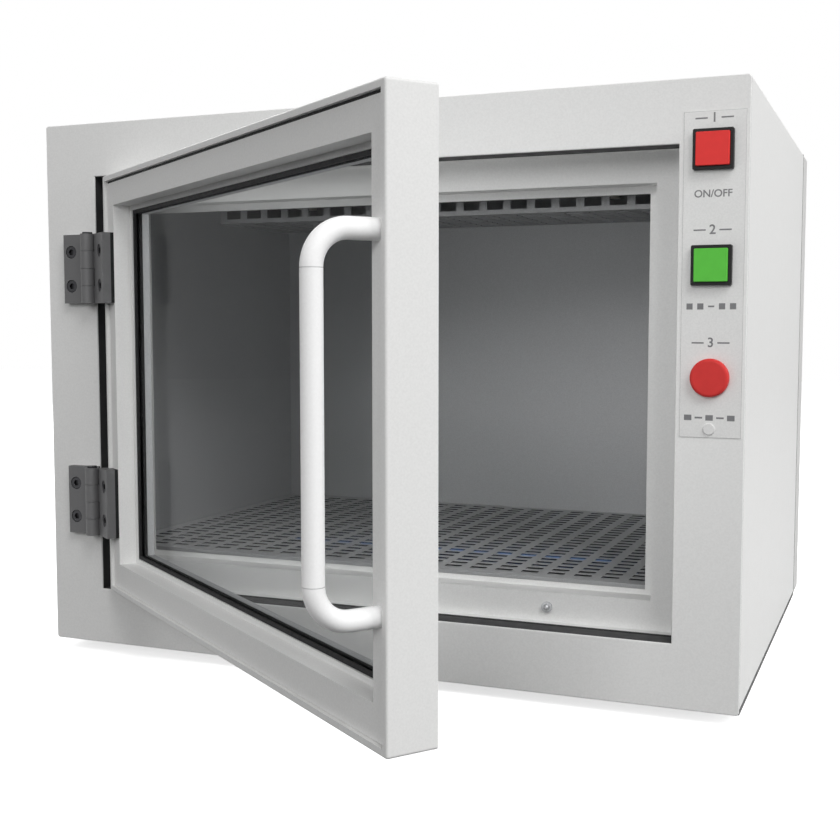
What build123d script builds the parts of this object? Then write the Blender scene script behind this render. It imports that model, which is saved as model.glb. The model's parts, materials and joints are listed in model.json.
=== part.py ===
"""Bench UVC disinfection box with a glazed, hinged front door that stands ajar.

Millimetres, +Z up, the front faces -Y. The origin is under the middle of the whole outline.
Sizes on the cabinet are given from its left side, its front face and the underside of its case.
Sizes on the door are given from its hinged edge, from its outer face inwards, and upwards.
"""

import os
from math import cos, floor, radians, sin, sqrt

from build123d import *

os.makedirs("parts", exist_ok=True)

# Cabinet
case_width = 635.0
case_depth = 500.0
case_height = 480.0
case_sheet = 1.5
case_corner = 2.5
panel_sheet = 2.0
panel_edge_radius = 0.8
panel_return = 12.0
rear_cover_depth = 42.0
cover_seam = 6.0
tray_gap = 2.0
hem_gap = 0.5
cover_overlap = 14.0
rear_flange = 14.0
side_lift = 4.5
tray_flange = 14.0

# Feet
foot_diameter = 25.0
foot_height = 10.0
foot_inset = 45.0
foot_taper = 1.0
foot_recess_diameter = 10.0
foot_recess_depth = 5.0

# Screws
screw_diameter = 4.0
screw_head_diameter = 7.4
screw_head_height = 2.2
screw_reach = 8.0
screw_slot_width = 1.2
screw_slot_depth = 1.0
screw_clearance = 0.3

# Door opening and the recess that the door closes into
opening_left = 53.0
opening_bottom = 51.0
opening_width = 530.0
opening_height = 381.0
lining_gap = 1.0
lining_thickness = 3.0
opening_return = 20.0
lining_width = 10.0
recess_sheet = 1.5
recess_flange = 6.0
ledge_left = 16.0
ledge_right = 24.0
ledge_rim = 23.5
return_depth = 21.0
lip_left = 3.0
lip_right = 9.0
lip_bottom = 4.3
lip_top = 6.0

# Chamber
chamber_left = 12.0
chamber_right = 560.0
chamber_floor = 22.0
chamber_ceiling = 450.0
chamber_back = 452.0
liner_sheet = 1.0
mouth_setback = 1.0
rail_width = 30.0
rail_inset = 70.0
rail_wall = 1.5
rail_end_gap = 20.0

# Perforated shelf
shelf_height = 58.0
shelf_sheet = 0.8
shelf_side_gap = 0.5
shelf_front = 72.0
shelf_back_gap = 1.0
shelf_lip = 8.0
shelf_hole_width = 15.0
shelf_hole_depth = 7.0
shelf_pitch_across = 24.0
shelf_pitch_deep = 15.0
shelf_margin = 8.0
support_width = 14.0
support_height = 20.0
support_sheet = 1.5
support_setback = 6.0

# Lamp guard under the ceiling
guard_left = 140.0
guard_right_gap = 4.0
guard_front = 76.0
guard_depth = 124.0
guard_height = 58.0
guard_sheet = 1.0
guard_flange = 10.0
guard_slot_width = 14.5
guard_slot_height = 7.5
guard_slot_pitch = 21.5
guard_slot_rise = 4.0
guard_row_pitch = 15.0
guard_edge_margin = 3.0

# Lamps: the tube lengths are between the end faces of the two caps
upper_lamp_length = 288.0
upper_lamp_diameter = 16.0
upper_lamp_drop = 29.0
lower_lamp_length = 437.0
lower_lamp_diameter = 26.0
lower_lamp_rise = 35.0
lower_lamp_y = 280.0
lower_lamp_centre_x = 295.0
lamp_cap_length = 12.0
lamp_cap_step = 0.4
lamp_pin_diameter = 2.4
lamp_pin_length = 7.0
lamp_pin_spacing = 6.0
lamp_pin_clearance = 0.3
holder_thickness = 12.0
holder_width = 24.0
holder_past_axis = 12.0

# Electrics beside the chamber
ballast_width = 40.0
ballast_height = 30.0
ballast_gap = 10.0
ballast_end_gap = 12.0
ballast_side_gap = 12.0
board_thickness = 1.6
board_length = 180.0
board_height = 130.0
board_front = 150.0
board_bottom = 200.0
standoff_length = 12.0
standoff_diameter = 6.0
standoff_inset = 8.0
relay_width = 16.0
relay_length = 28.0
relay_height = 34.0
relay_spacing = 50.0

# Rear of the cabinet
inlet_x = 600.0
inlet_z = 70.0
inlet_flange_width = 32.0
inlet_flange_height = 58.0
inlet_flange_thickness = 3.0
inlet_body_width = 27.0
inlet_body_height = 46.0
inlet_body_depth = 28.0
inlet_corner = 3.0
inlet_socket_width = 24.5
inlet_socket_height = 17.0
inlet_socket_depth = 16.0
inlet_socket_drop = 11.0
inlet_pin_width = 2.0
inlet_pin_height = 4.0
inlet_pin_length = 12.0
inlet_pin_spacing = 7.0
fuse_width = 20.0
fuse_height = 13.0
fuse_depth = 18.0
fuse_rise = 13.0
fuse_face_thickness = 2.5
fuse_gap = 0.3
vent_width = 60.0
vent_height = 4.0
vent_pitch = 10.0
vent_count = 8
vent_x = 560.0
vent_z = 400.0

# Control column to the right of the door
label_left = 586.5
label_right = 632.3
label_bottom = 212.0
label_top = 455.0
label_thickness = 0.5
label_corner = 2.0
control_x = 608.8
power_button_z = 426.6
cycle_button_z = 341.2
status_lamp_z = 257.2
blank_plug_z = 218.5
bezel_size = 30.0
bezel_corner = 1.2
bezel_height = 5.0
bezel_edge = 0.4
bezel_floor = 0.6
cap_size = 24.6
cap_gap = 0.35
cap_corner = 0.8
cap_proud = 3.0
cap_edge = 0.4
button_travel = 2.5
travel_spare = 0.6
barrel_diameter = 21.8
barrel_length = 25.0
barrel_clearance = 0.4
stem_diameter = 9.8
stem_length = 15.0
stem_clearance = 0.08
status_base_diameter = 24.0
status_base_height = 1.5
status_lens_diameter = 29.0
status_lens_height = 6.0
lens_edge_radius = 2.5
nut_thickness = 4.0
nut_diameter = 27.0
switch_body_size = 26.0
switch_body_depth = 34.0
plug_diameter = 9.0
plug_height = 1.5
plug_shank_diameter = 6.0
plug_shank_length = 10.0

# Interlock beside the lower edge of the recess
interlock_x = 472.4
interlock_z = 62.0
plunger_diameter = 5.0
plunger_proud = 4.0
plunger_travel = 3.0
plunger_tip = 1.5
plunger_clearance = 0.05
bushing_head_diameter = 9.0
bushing_head_height = 2.0
bushing_diameter = 7.0
bushing_length = 7.0
plunger_tail = 4.0
switch_hole_diameter = 6.0
interlock_switch_width = 20.0
interlock_switch_height = 12.0
interlock_switch_depth = 13.0

# Door
rest_open_angle = 36.8
door_hinge_gap = 9.0
door_edge_gap = 1.5
door_swing_clearance = 1.0
door_thickness = 34.0
door_corner = 2.0
door_edge_radius = 1.5
rim_width = 5.0
face_setback = 3.0
face_sheet = 1.5
face_side_gap = 0.5
face_top_gap = 2.0
face_bottom_gap = 0.3
front_ledge = 3.0
rear_ledge = 6.0
back_panel_gap = 0.4
window_stile = 21.0
window_rail = 27.0
window_reveal = 15.0
window_ledge = 4.3
gasket_show = 3.0
gasket_depth = 8.5
gasket_front = 2.5
pane_thickness = 3.0
pane_grip = 3.8
pane_edge_gap = 0.5
seal_width = 5.0
seal_height = 4.0
seal_gap = 1.0
seal_offset = 0.5
seal_corner = 2.0

# Handle
handle_diameter = 13.0
handle_from_free_edge = 13.5
handle_leg_height = 79.0
handle_spacing = 218.0
handle_standoff = 41.4
handle_bend = 22.0
handle_screw_diameter = 5.0
handle_screw_depth = 12.0
handle_screw_head = 10.0
handle_screw_head_height = 3.0

# Hinges
hinge_axis_out = 12.0
hinge_height = 62.5
upper_hinge_z = 348.0
lower_hinge_z = 135.0
leaf_thickness = 8.0
leaf_reach = 30.0
leaf_edge_radius = 0.8
barrel_radius = 6.5
knuckle_count = 4
knuckle_gap = 0.3
leaf_to_barrel = 0.7
pin_diameter = 6.0
pin_clearance = 0.05
pin_head_diameter = 9.0
pin_head_height = 1.5
hinge_screw_from_axis = 21.5
hinge_screw_spacing = 31.0
hinge_screw_diameter = 6.0
hinge_screw_head = 10.4
hinge_screw_head_height = 4.5
hinge_counterbore = 11.5
hinge_counterbore_depth = 5.0
hinge_screw_reach = 9.0
hex_socket_width = 5.0
hex_socket_depth = 2.5
backing_width = 16.0
backing_thickness = 4.0
packing_gap = 0.3

# Derived sizes of the door, whose free edge has to swing past the opening's edge
swing_radius = opening_width - door_swing_clearance
door_width = sqrt(swing_radius**2 - (hinge_axis_out + door_thickness) ** 2) - door_hinge_gap
door_height = opening_height - 2 * door_edge_gap
door_bottom = opening_bottom + door_edge_gap
recess_depth = door_thickness + seal_height + seal_gap
mouth_depth = recess_depth + return_depth
handle_u = door_width - handle_from_free_edge
handle_centre_out = handle_standoff - face_setback

# Where the cabinet stands: the outline runs from the handle to the rear
open_angle = radians(rest_open_angle)
handle_lead = (
    hinge_axis_out
    + (door_hinge_gap + handle_u) * sin(open_angle)
    + (handle_centre_out - hinge_axis_out) * cos(open_angle)
    + handle_diameter / 2
)
case_left = -case_width / 2
case_front = (handle_lead - case_depth - inlet_flange_thickness - fuse_face_thickness) / 2
case_bottom = foot_height


def case_point(x, y, z):
    """A point given from the cabinet's left side, front face and underside."""
    return Vector(case_left + x, case_front + y, case_bottom + z)


def front_plane(y):
    """A plane facing forwards: x to the right, y up."""
    return Plane(origin=case_point(0, y, 0), x_dir=(1, 0, 0), z_dir=(0, -1, 0))


def rear_plane(y):
    """A plane facing backwards at the cabinet's left side: x runs from right to left."""
    return Plane(origin=case_point(0, y, 0), x_dir=(-1, 0, 0), z_dir=(0, 1, 0))


def level_plane(z):
    """A plane facing up: x to the right, y to the rear."""
    return Plane(origin=case_point(0, 0, z))


def side_plane(x):
    """A plane facing right: x to the rear, y up."""
    return Plane(origin=case_point(x, 0, 0), x_dir=(0, 1, 0), z_dir=(1, 0, 0))


door_across = Vector(cos(open_angle), -sin(open_angle), 0)
door_inwards = Vector(sin(open_angle), cos(open_angle), 0)


def door_point(across, inwards, up):
    """A point given from the door's hinged edge, from its outer face inwards, and upwards."""
    axis = case_point(opening_left, -hinge_axis_out, up)
    return axis + door_across * (door_hinge_gap + across) + door_inwards * (hinge_axis_out + inwards)


def door_plane(inwards):
    """A plane facing out of the door: x away from the hinges, y up."""
    return Plane(origin=door_point(0, inwards, 0), x_dir=door_across, z_dir=-door_inwards)


def hinge_plane(z, turned):
    """A plane facing up with its origin on the hinge axis: y points inwards."""
    x_dir = door_across if turned else Vector(1, 0, 0)
    return Plane(origin=case_point(opening_left, -hinge_axis_out, z), x_dir=x_dir, z_dir=(0, 0, 1))


def grown(area, amount):
    """An area (left, right, bottom, top) enlarged by an amount on every side."""
    left, right, bottom, top = area
    return left - amount, right + amount, bottom - amount, top + amount


def draw_area(area, corner=0.0, mode=Mode.ADD):
    """Draw a rectangle (left, right, bottom, top) in the sketch."""
    left, right, bottom, top = area
    with Locations(((left + right) / 2, (bottom + top) / 2)):
        if corner > 0:
            RectangleRounded(right - left, top - bottom, corner, mode=mode)
        else:
            Rectangle(right - left, top - bottom, mode=mode)


def slab(plane, area, amount, corner=0.0, mode=Mode.ADD):
    """Extrude a rectangle."""
    with BuildSketch(plane) as outline:
        draw_area(area, corner)
    extrude(outline.sketch, amount=amount, mode=mode)


def ring(plane, outer, inner, amount, corner=0.0):
    """Extrude a rectangular frame."""
    with BuildSketch(plane) as outline:
        draw_area(outer, corner)
        draw_area(inner, max(0.0, corner - (inner[0] - outer[0])), Mode.SUBTRACT)
    extrude(outline.sketch, amount=amount)


def rod(plane, centre, diameter, amount, mode=Mode.ADD):
    """Extrude a circle."""
    with BuildSketch(plane) as outline:
        with Locations(centre):
            Circle(diameter / 2)
    extrude(outline.sketch, amount=amount, mode=mode)


def square_block(plane, centre, size, corner, amount, mode=Mode.ADD):
    """Extrude a square with rounded corners."""
    with BuildSketch(plane) as outline:
        with Locations(centre):
            RectangleRounded(size, size, corner)
    extrude(outline.sketch, amount=amount, mode=mode)


def save(part, name):
    """Label a finished piece and write it."""
    part.label = name
    export_step(part, f"parts/{name}.step")


case_area = (0.0, case_width, 0.0, case_height)
opening = (opening_left, opening_left + opening_width, opening_bottom, opening_bottom + opening_height)
inner_opening = (
    opening[0] + ledge_left,
    opening[1] - ledge_right,
    opening[2] + ledge_rim,
    opening[3] - ledge_rim,
)
mouth = (
    inner_opening[0] + lip_left,
    inner_opening[1] - lip_right,
    inner_opening[2] + lip_bottom,
    inner_opening[3] - lip_top,
)
tunnel = grown(opening, lining_gap + lining_thickness)
case_rear = case_depth - rear_cover_depth - cover_seam
cover_seat = case_depth - case_sheet
control_holes = [
    (control_x, power_button_z),
    (control_x, cycle_button_z),
    (control_x, status_lamp_z),
]
case_screw_x = opening_left - hinge_screw_from_axis
hinge_screw_heights = [
    hinge + side * hinge_screw_spacing / 2
    for hinge in (upper_hinge_z, lower_hinge_z)
    for side in (-1, 1)
]
cover_screw_x = rear_flange / 2 + case_sheet
cover_screws = [
    (x, z)
    for x in (cover_screw_x, case_width - cover_screw_x)
    for z in (foot_inset, case_height / 2, case_height - foot_inset)
]
cover_screws += [(case_width / 3, case_height - cover_screw_x)]
cover_screws += [(2 * case_width / 3, case_height - cover_screw_x)]
barrel_hole = barrel_diameter + 2 * barrel_clearance
plug_hole = plug_shank_diameter + 2 * screw_clearance
hinge_hole = hinge_screw_diameter + 2 * screw_clearance
foot_places = [
    (x, y)
    for x in (foot_inset, case_width - foot_inset)
    for y in (foot_inset, case_depth - foot_inset - rear_cover_depth)
]

# Outer case: an inverted trough of sheet with a stepped-in band that the rear cover slides over
with BuildPart() as outer_case:
    skin = (0.0, case_width, side_lift - case_corner, case_height)
    with BuildSketch(front_plane(panel_sheet)):
        draw_area(skin, case_corner)
        draw_area((-1, case_width + 1, -case_height, side_lift), mode=Mode.SUBTRACT)
        draw_area(
            (case_sheet, case_width - case_sheet, -case_height, case_height - case_sheet),
            mode=Mode.SUBTRACT,
        )
    extrude(amount=-(case_rear - panel_sheet))
    with BuildSketch(front_plane(case_rear - cover_overlap)):
        draw_area((case_sheet, case_width - case_sheet, side_lift, case_height - case_sheet))
        draw_area(
            (2 * case_sheet, case_width - 2 * case_sheet, -case_height, case_height - 2 * case_sheet),
            mode=Mode.SUBTRACT,
        )
    extrude(amount=-(cover_seat - case_rear + cover_overlap))
    with BuildSketch(front_plane(cover_seat)):
        draw_area((case_sheet, case_width - case_sheet, side_lift, case_height - case_sheet))
        draw_area(
            (rear_flange, case_width - rear_flange, -case_height, case_height - rear_flange),
            mode=Mode.SUBTRACT,
        )
    extrude(amount=case_sheet)
    for place in cover_screws:
        rod(front_plane(cover_seat), place, screw_diameter + 2 * screw_clearance, case_sheet, Mode.SUBTRACT)
save(outer_case.part, "outer_case")

# Front panel: a plate folded back inside the case and round the door opening
with BuildPart() as front_panel:
    ring(front_plane(0), case_area, opening, -panel_sheet, case_corner)
    fillet(front_panel.faces().sort_by(Axis.Y)[0].edges(), panel_edge_radius)
    ring(
        front_plane(panel_sheet),
        grown(case_area, -case_sheet),
        grown(case_area, -2 * case_sheet),
        -panel_return,
    )
    ring(front_plane(panel_sheet), grown(opening, panel_sheet), opening, panel_sheet - opening_return)
    for place in control_holes:
        rod(front_plane(0), place, barrel_hole, -panel_sheet, Mode.SUBTRACT)
    rod(front_plane(0), (control_x, blank_plug_z), plug_hole, -panel_sheet, Mode.SUBTRACT)
    for z in hinge_screw_heights:
        rod(front_plane(0), (case_screw_x, z), hinge_hole, -panel_sheet, Mode.SUBTRACT)
save(front_panel.part, "front_panel")

# Base plate: a shallow tray between the sides of the case, with a tongue under the rear cover
with BuildPart() as base_plate:
    tray = (case_sheet, case_width - case_sheet, panel_sheet, case_rear)
    slab(level_plane(0), tray, case_sheet)
    for left in (0, case_width - case_sheet):
        hem = (left, left + case_sheet, panel_sheet + hem_gap, case_rear)
        slab(level_plane(0), hem, side_lift - hem_gap)
    flange_start = panel_sheet + panel_return + tray_gap
    flange_end = case_rear - cover_overlap - tray_gap
    for left in (case_sheet, case_width - 2 * case_sheet):
        side_flange = (left, left + case_sheet, flange_start, flange_end)
        slab(level_plane(case_sheet), side_flange, tray_flange)
    tongue = (
        2 * case_sheet + tray_gap,
        case_width - 2 * case_sheet - tray_gap,
        case_rear - cover_overlap,
        cover_seat,
    )
    slab(level_plane(case_sheet), tongue, case_sheet)
    for place in foot_places:
        rod(level_plane(0), place, screw_diameter + 2 * screw_clearance, case_sheet, Mode.SUBTRACT)
save(base_plate.part, "base_plate")

# Rear cover: a deep lid whose skirt carries on the outline of the case behind a narrow seam
with BuildPart() as rear_cover:
    slab(front_plane(case_depth), case_area, rear_cover_depth, case_corner)
    fillet(rear_cover.faces().sort_by(Axis.Y)[-1].edges(), panel_edge_radius)
    pocket = grown(case_area, -case_sheet)
    slab(front_plane(cover_seat), pocket, rear_cover_depth, 0.0, Mode.SUBTRACT)
    for place in cover_screws:
        rod(front_plane(case_depth), place, screw_diameter + 2 * screw_clearance, case_sheet, Mode.SUBTRACT)
    inlet_hole = (
        inlet_x - inlet_body_width / 2 - screw_clearance,
        inlet_x + inlet_body_width / 2 + screw_clearance,
        inlet_z - inlet_body_height / 2 - screw_clearance,
        inlet_z + inlet_body_height / 2 + screw_clearance,
    )
    slab(front_plane(case_depth), inlet_hole, case_sheet, 0.0, Mode.SUBTRACT)
    with BuildSketch(front_plane(case_depth)):
        with Locations((vent_x, vent_z)):
            with GridLocations(vent_width, vent_pitch, 1, vent_count):
                SlotOverall(vent_width, vent_height)
    extrude(amount=case_sheet, mode=Mode.SUBTRACT)
save(rear_cover.part, "rear_cover")

with BuildPart() as rear_cover_screws:
    for place in cover_screws:
        rod(rear_plane(case_depth), (-place[0], place[1]), screw_head_diameter, screw_head_height)
        rod(rear_plane(case_depth), (-place[0], place[1]), screw_diameter, -screw_reach)
    rear_heads = rear_cover_screws.faces().filter_by(GeomType.PLANE).group_by(Axis.Y)[-1]
    fillet(rear_heads.edges(), screw_head_height / 3)
    with BuildSketch(rear_plane(case_depth + screw_head_height)):
        with Locations(*[(-x, z) for x, z in cover_screws]):
            Rectangle(screw_head_diameter, screw_slot_width)
    extrude(amount=-screw_slot_depth, mode=Mode.SUBTRACT)
save(rear_cover_screws.part, "rear_cover_screws")

# Feet: moulded rubber, screwed up into the base plate
with BuildPart() as rubber_feet:
    for place in foot_places:
        with BuildSketch(level_plane(0)):
            with Locations(place):
                Circle(foot_diameter / 2)
        with BuildSketch(level_plane(-foot_height)):
            with Locations(place):
                Circle(foot_diameter / 2 - foot_taper)
        loft()
        bore = screw_diameter + 2 * screw_clearance
        rod(level_plane(0), place, bore, -foot_height, Mode.SUBTRACT)
        recess_plane = level_plane(-foot_height)
        rod(recess_plane, place, foot_recess_diameter, foot_recess_depth, Mode.SUBTRACT)
save(rubber_feet.part, "rubber_feet")

with BuildPart() as foot_screws:
    head_seat = foot_recess_depth - foot_height
    for place in foot_places:
        rod(level_plane(head_seat), place, screw_head_diameter, -screw_head_height)
        rod(level_plane(head_seat), place, screw_diameter, -head_seat + screw_reach)
save(foot_screws.part, "foot_screws")

# Recess frame: tunnel behind the panel, a broad ledge facing the door, a return and a narrow lip
lining_end = opening_return + lining_width
with BuildPart() as door_recess_frame:
    tunnel_outside = grown(tunnel, recess_sheet)
    ring(front_plane(panel_sheet), grown(tunnel_outside, recess_flange), tunnel, -recess_sheet)
    tunnel_length = recess_depth + recess_sheet - panel_sheet
    ring(front_plane(panel_sheet), tunnel_outside, tunnel, -tunnel_length)
    ring(front_plane(recess_depth), tunnel, inner_opening, -recess_sheet)
    ring(front_plane(lining_end), tunnel, grown(opening, lining_gap), lining_end - recess_depth)
    return_outside = grown(inner_opening, recess_sheet)
    ring(front_plane(recess_depth), return_outside, inner_opening, -(return_depth + recess_sheet))
    ring(front_plane(mouth_depth), return_outside, mouth, -recess_sheet)
    bushing_hole = bushing_diameter + 2 * screw_clearance
    place = (interlock_x, interlock_z)
    rod(front_plane(recess_depth), place, bushing_hole, -recess_sheet, Mode.SUBTRACT)
save(door_recess_frame.part, "door_recess_frame")

# Recess lining: a black rubber strip in the groove between the panel's return and the recess frame
with BuildPart() as recess_lining:
    ring(front_plane(opening_return), tunnel, grown(opening, lining_gap), -lining_width)
save(recess_lining.part, "recess_lining")

# Chamber liner: a bright metal box, open at the mouth
liner_front = mouth_depth + recess_sheet
chamber = (chamber_left, chamber_right, chamber_floor, chamber_ceiling)
with BuildPart() as chamber_liner:
    liner_length = chamber_back + liner_sheet - liner_front
    slab(front_plane(liner_front), grown(chamber, liner_sheet), -liner_length)
    hollow_length = chamber_back - liner_front - liner_sheet
    slab(front_plane(liner_front + liner_sheet), chamber, -hollow_length, 0.0, Mode.SUBTRACT)
    slab(front_plane(liner_front), grown(mouth, mouth_setback), -liner_sheet, 0.0, Mode.SUBTRACT)
save(chamber_liner.part, "chamber_liner")

# Rails that carry the liner above the base plate
with BuildPart() as liner_rails:
    rail_height = chamber_floor - liner_sheet - case_sheet
    rail_front = liner_front + rail_end_gap
    rail_length = chamber_back - rail_end_gap - rail_front
    for centre in (chamber_left + rail_inset, chamber_right - rail_inset):
        rail = (centre - rail_width / 2, centre + rail_width / 2, case_sheet, case_sheet + rail_height)
        ring(front_plane(rail_front), rail, grown(rail, -rail_wall), -rail_length)
save(liner_rails.part, "liner_rails")

# Shelf: a flat perforated sheet that lies on two side ledges and a front ledge
shelf_top = chamber_floor + shelf_height
shelf_bottom = shelf_top - shelf_sheet
shelf_area = (
    chamber_left + shelf_side_gap,
    chamber_right - shelf_side_gap,
    shelf_front + support_sheet,
    chamber_back - shelf_back_gap,
)
shelf_width = shelf_area[1] - shelf_area[0]
shelf_depth = shelf_area[3] - shelf_area[2]
with BuildPart() as perforated_shelf:
    holes_across = floor((shelf_width - 2 * shelf_margin) / shelf_pitch_across)
    holes_deep = floor((shelf_depth - 2 * shelf_margin) / shelf_pitch_deep)
    shelf_middle = (shelf_area[0] + shelf_width / 2, shelf_area[2] + shelf_depth / 2)
    with BuildSketch(Plane(origin=case_point(*shelf_middle, shelf_bottom))):
        # One face with all its holes, because cutting them one by one is slow
        blank = Rectangle(shelf_width, shelf_depth, mode=Mode.PRIVATE)
        hole = Rectangle(shelf_hole_width, shelf_hole_depth, mode=Mode.PRIVATE)
        with GridLocations(shelf_pitch_across, shelf_pitch_deep, holes_across, holes_deep) as grid:
            hole_outlines = [hole.wire().moved(place) for place in grid.local_locations]
        add(Face(blank.wire(), hole_outlines))
    extrude(amount=shelf_sheet)
save(perforated_shelf.part, "perforated_shelf")

with BuildPart() as shelf_supports:
    support_start = shelf_front + support_setback + support_width
    support_end = chamber_back - shelf_back_gap
    for wall, side in ((chamber_left, 1), (chamber_right, -1)):
        foot_edge = wall + side * support_width
        web_edge = wall + side * support_sheet
        top_strip = (min(wall, foot_edge), max(wall, foot_edge), support_start, support_end)
        slab(level_plane(shelf_bottom), top_strip, -support_sheet)
        wall_strip = (min(wall, web_edge), max(wall, web_edge), support_start, support_end)
        slab(level_plane(shelf_bottom), wall_strip, -support_height)
    front_web = (chamber_left, chamber_right, shelf_bottom - shelf_lip, shelf_top)
    slab(front_plane(shelf_front), front_web, -support_sheet)
    front_strip = (chamber_left, chamber_right, shelf_front, shelf_front + support_width)
    slab(level_plane(shelf_bottom), front_strip, -support_sheet)
save(shelf_supports.part, "shelf_supports")

# Lamp guard: a slotted box hung under the ceiling
guard_right = chamber_right - guard_right_gap
guard_bottom = chamber_ceiling - guard_height
guard_area = (guard_left, guard_right, guard_front, guard_front + guard_depth)
guard_length = guard_right - guard_left
with BuildPart() as lamp_guard:
    slots_across = floor((guard_length - 2 * guard_edge_margin) / guard_slot_pitch)
    slot_rows = floor((guard_depth - 2 * guard_edge_margin) / guard_row_pitch)
    ring(level_plane(guard_bottom), guard_area, grown(guard_area, -guard_sheet), guard_height)
    slab(level_plane(guard_bottom), guard_area, guard_sheet)
    flange_inside = (
        guard_left + guard_sheet,
        guard_right - guard_sheet,
        guard_front + guard_flange,
        guard_front + guard_depth - guard_flange,
    )
    ring(level_plane(chamber_ceiling), guard_area, flange_inside, -guard_sheet)
    with BuildSketch(level_plane(guard_bottom)):
        with Locations((guard_left + guard_length / 2, guard_front + guard_depth / 2)):
            with GridLocations(guard_slot_pitch, guard_row_pitch, slots_across, slot_rows):
                Rectangle(guard_slot_width, guard_slot_height)
    extrude(amount=guard_sheet, mode=Mode.SUBTRACT)
    slot_z = guard_bottom + guard_slot_rise + guard_slot_height / 2
    with BuildSketch(front_plane(guard_front)):
        with Locations((guard_left + guard_length / 2, slot_z)):
            with GridLocations(guard_slot_pitch, guard_row_pitch, slots_across, 1):
                Rectangle(guard_slot_width, guard_slot_height)
    extrude(amount=-guard_sheet, mode=Mode.SUBTRACT)
save(lamp_guard.part, "lamp_guard")

# Lamps: glass tubes between two-pin caps, which stand against their holders
upper_lamp = (
    guard_left + guard_length / 2,
    guard_front + guard_depth / 2,
    chamber_ceiling - upper_lamp_drop,
)
lower_lamp = (lower_lamp_centre_x, lower_lamp_y, chamber_floor + lower_lamp_rise)


def lamp_plane(lamp, offset):
    """A plane facing right at a distance along the lamp from its middle."""
    return side_plane(lamp[0] + offset)


def glass_tube(lamp, length, diameter):
    """Draw the glass between the two caps."""
    half = length / 2 - lamp_cap_length
    rod(lamp_plane(lamp, -half), (lamp[1], lamp[2]), diameter, 2 * half)


def end_caps(lamp, length, diameter):
    """Draw the two caps with their contact pins."""
    for side in (-1, 1):
        cap_plane = lamp_plane(lamp, side * (length / 2 - lamp_cap_length))
        rod(cap_plane, (lamp[1], lamp[2]), diameter + 2 * lamp_cap_step, side * lamp_cap_length)
        for pin in (-1, 1):
            pin_place = (lamp[1] + pin * lamp_pin_spacing / 2, lamp[2])
            pin_plane = lamp_plane(lamp, side * length / 2)
            rod(pin_plane, pin_place, lamp_pin_diameter, side * lamp_pin_length)


def lamp_holder_pair(lamp, length, mounting_z):
    """Draw two holders that reach from a mounting height to just past the lamp's axis."""
    beyond = lamp[2] - holder_past_axis if mounting_z > lamp[2] else lamp[2] + holder_past_axis
    block = (
        lamp[1] - holder_width / 2,
        lamp[1] + holder_width / 2,
        min(mounting_z, beyond),
        max(mounting_z, beyond),
    )
    for side in (-1, 1):
        holder_plane = lamp_plane(lamp, side * length / 2)
        slab(holder_plane, block, side * holder_thickness)
        for pin in (-1, 1):
            pin_place = (lamp[1] + pin * lamp_pin_spacing / 2, lamp[2])
            pin_hole = lamp_pin_diameter + 2 * lamp_pin_clearance
            depth = lamp_pin_length + lamp_pin_clearance
            rod(holder_plane, pin_place, pin_hole, side * depth, Mode.SUBTRACT)


with BuildPart() as upper_lamp_tube:
    glass_tube(upper_lamp, upper_lamp_length, upper_lamp_diameter)
save(upper_lamp_tube.part, "upper_lamp_tube")

with BuildPart() as lower_lamp_tube:
    glass_tube(lower_lamp, lower_lamp_length, lower_lamp_diameter)
save(lower_lamp_tube.part, "lower_lamp_tube")

with BuildPart() as lamp_end_caps:
    end_caps(upper_lamp, upper_lamp_length, upper_lamp_diameter)
    end_caps(lower_lamp, lower_lamp_length, lower_lamp_diameter)
save(lamp_end_caps.part, "lamp_end_caps")

with BuildPart() as lamp_holders:
    lamp_holder_pair(upper_lamp, upper_lamp_length, chamber_ceiling)
    lamp_holder_pair(lower_lamp, lower_lamp_length, chamber_floor)
save(lamp_holders.part, "lamp_holders")

# Electrics in the space to the right of the chamber
compartment_left = chamber_right + liner_sheet
ballast_front = foot_inset + ballast_end_gap
ballast_rear = case_depth - foot_inset - rear_cover_depth - ballast_end_gap
ballast_length = (ballast_rear - ballast_front - ballast_gap) / 2
with BuildPart() as lamp_ballasts:
    for start in (ballast_front, ballast_rear - ballast_length):
        left = compartment_left + ballast_side_gap
        ballast = (left, left + ballast_width, start, start + ballast_length)
        slab(level_plane(case_sheet), ballast, ballast_height)
    fillet(lamp_ballasts.edges().filter_by(Axis.Y).group_by(Axis.Z)[-1], case_sheet)
save(lamp_ballasts.part, "lamp_ballasts")

board_area = (board_front, board_front + board_length, board_bottom, board_bottom + board_height)
standoff_area = grown(board_area, -standoff_inset)
standoff_places = [(y, z) for y in standoff_area[:2] for z in standoff_area[2:]]
with BuildPart() as board_standoffs:
    for place in standoff_places:
        rod(side_plane(compartment_left), place, standoff_diameter, standoff_length)
save(board_standoffs.part, "board_standoffs")

with BuildPart() as control_board:
    slab(side_plane(compartment_left + standoff_length), board_area, board_thickness)
save(control_board.part, "control_board")

with BuildPart() as board_relays:
    relay_plane = side_plane(compartment_left + standoff_length + board_thickness)
    relay_middle = (board_front + board_length / 2, board_bottom + board_height / 2)
    with BuildSketch(relay_plane):
        with Locations(relay_middle):
            with GridLocations(relay_spacing, relay_spacing, 3, 1):
                Rectangle(relay_length, relay_height)
    extrude(amount=relay_width)
save(board_relays.part, "board_relays")

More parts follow.
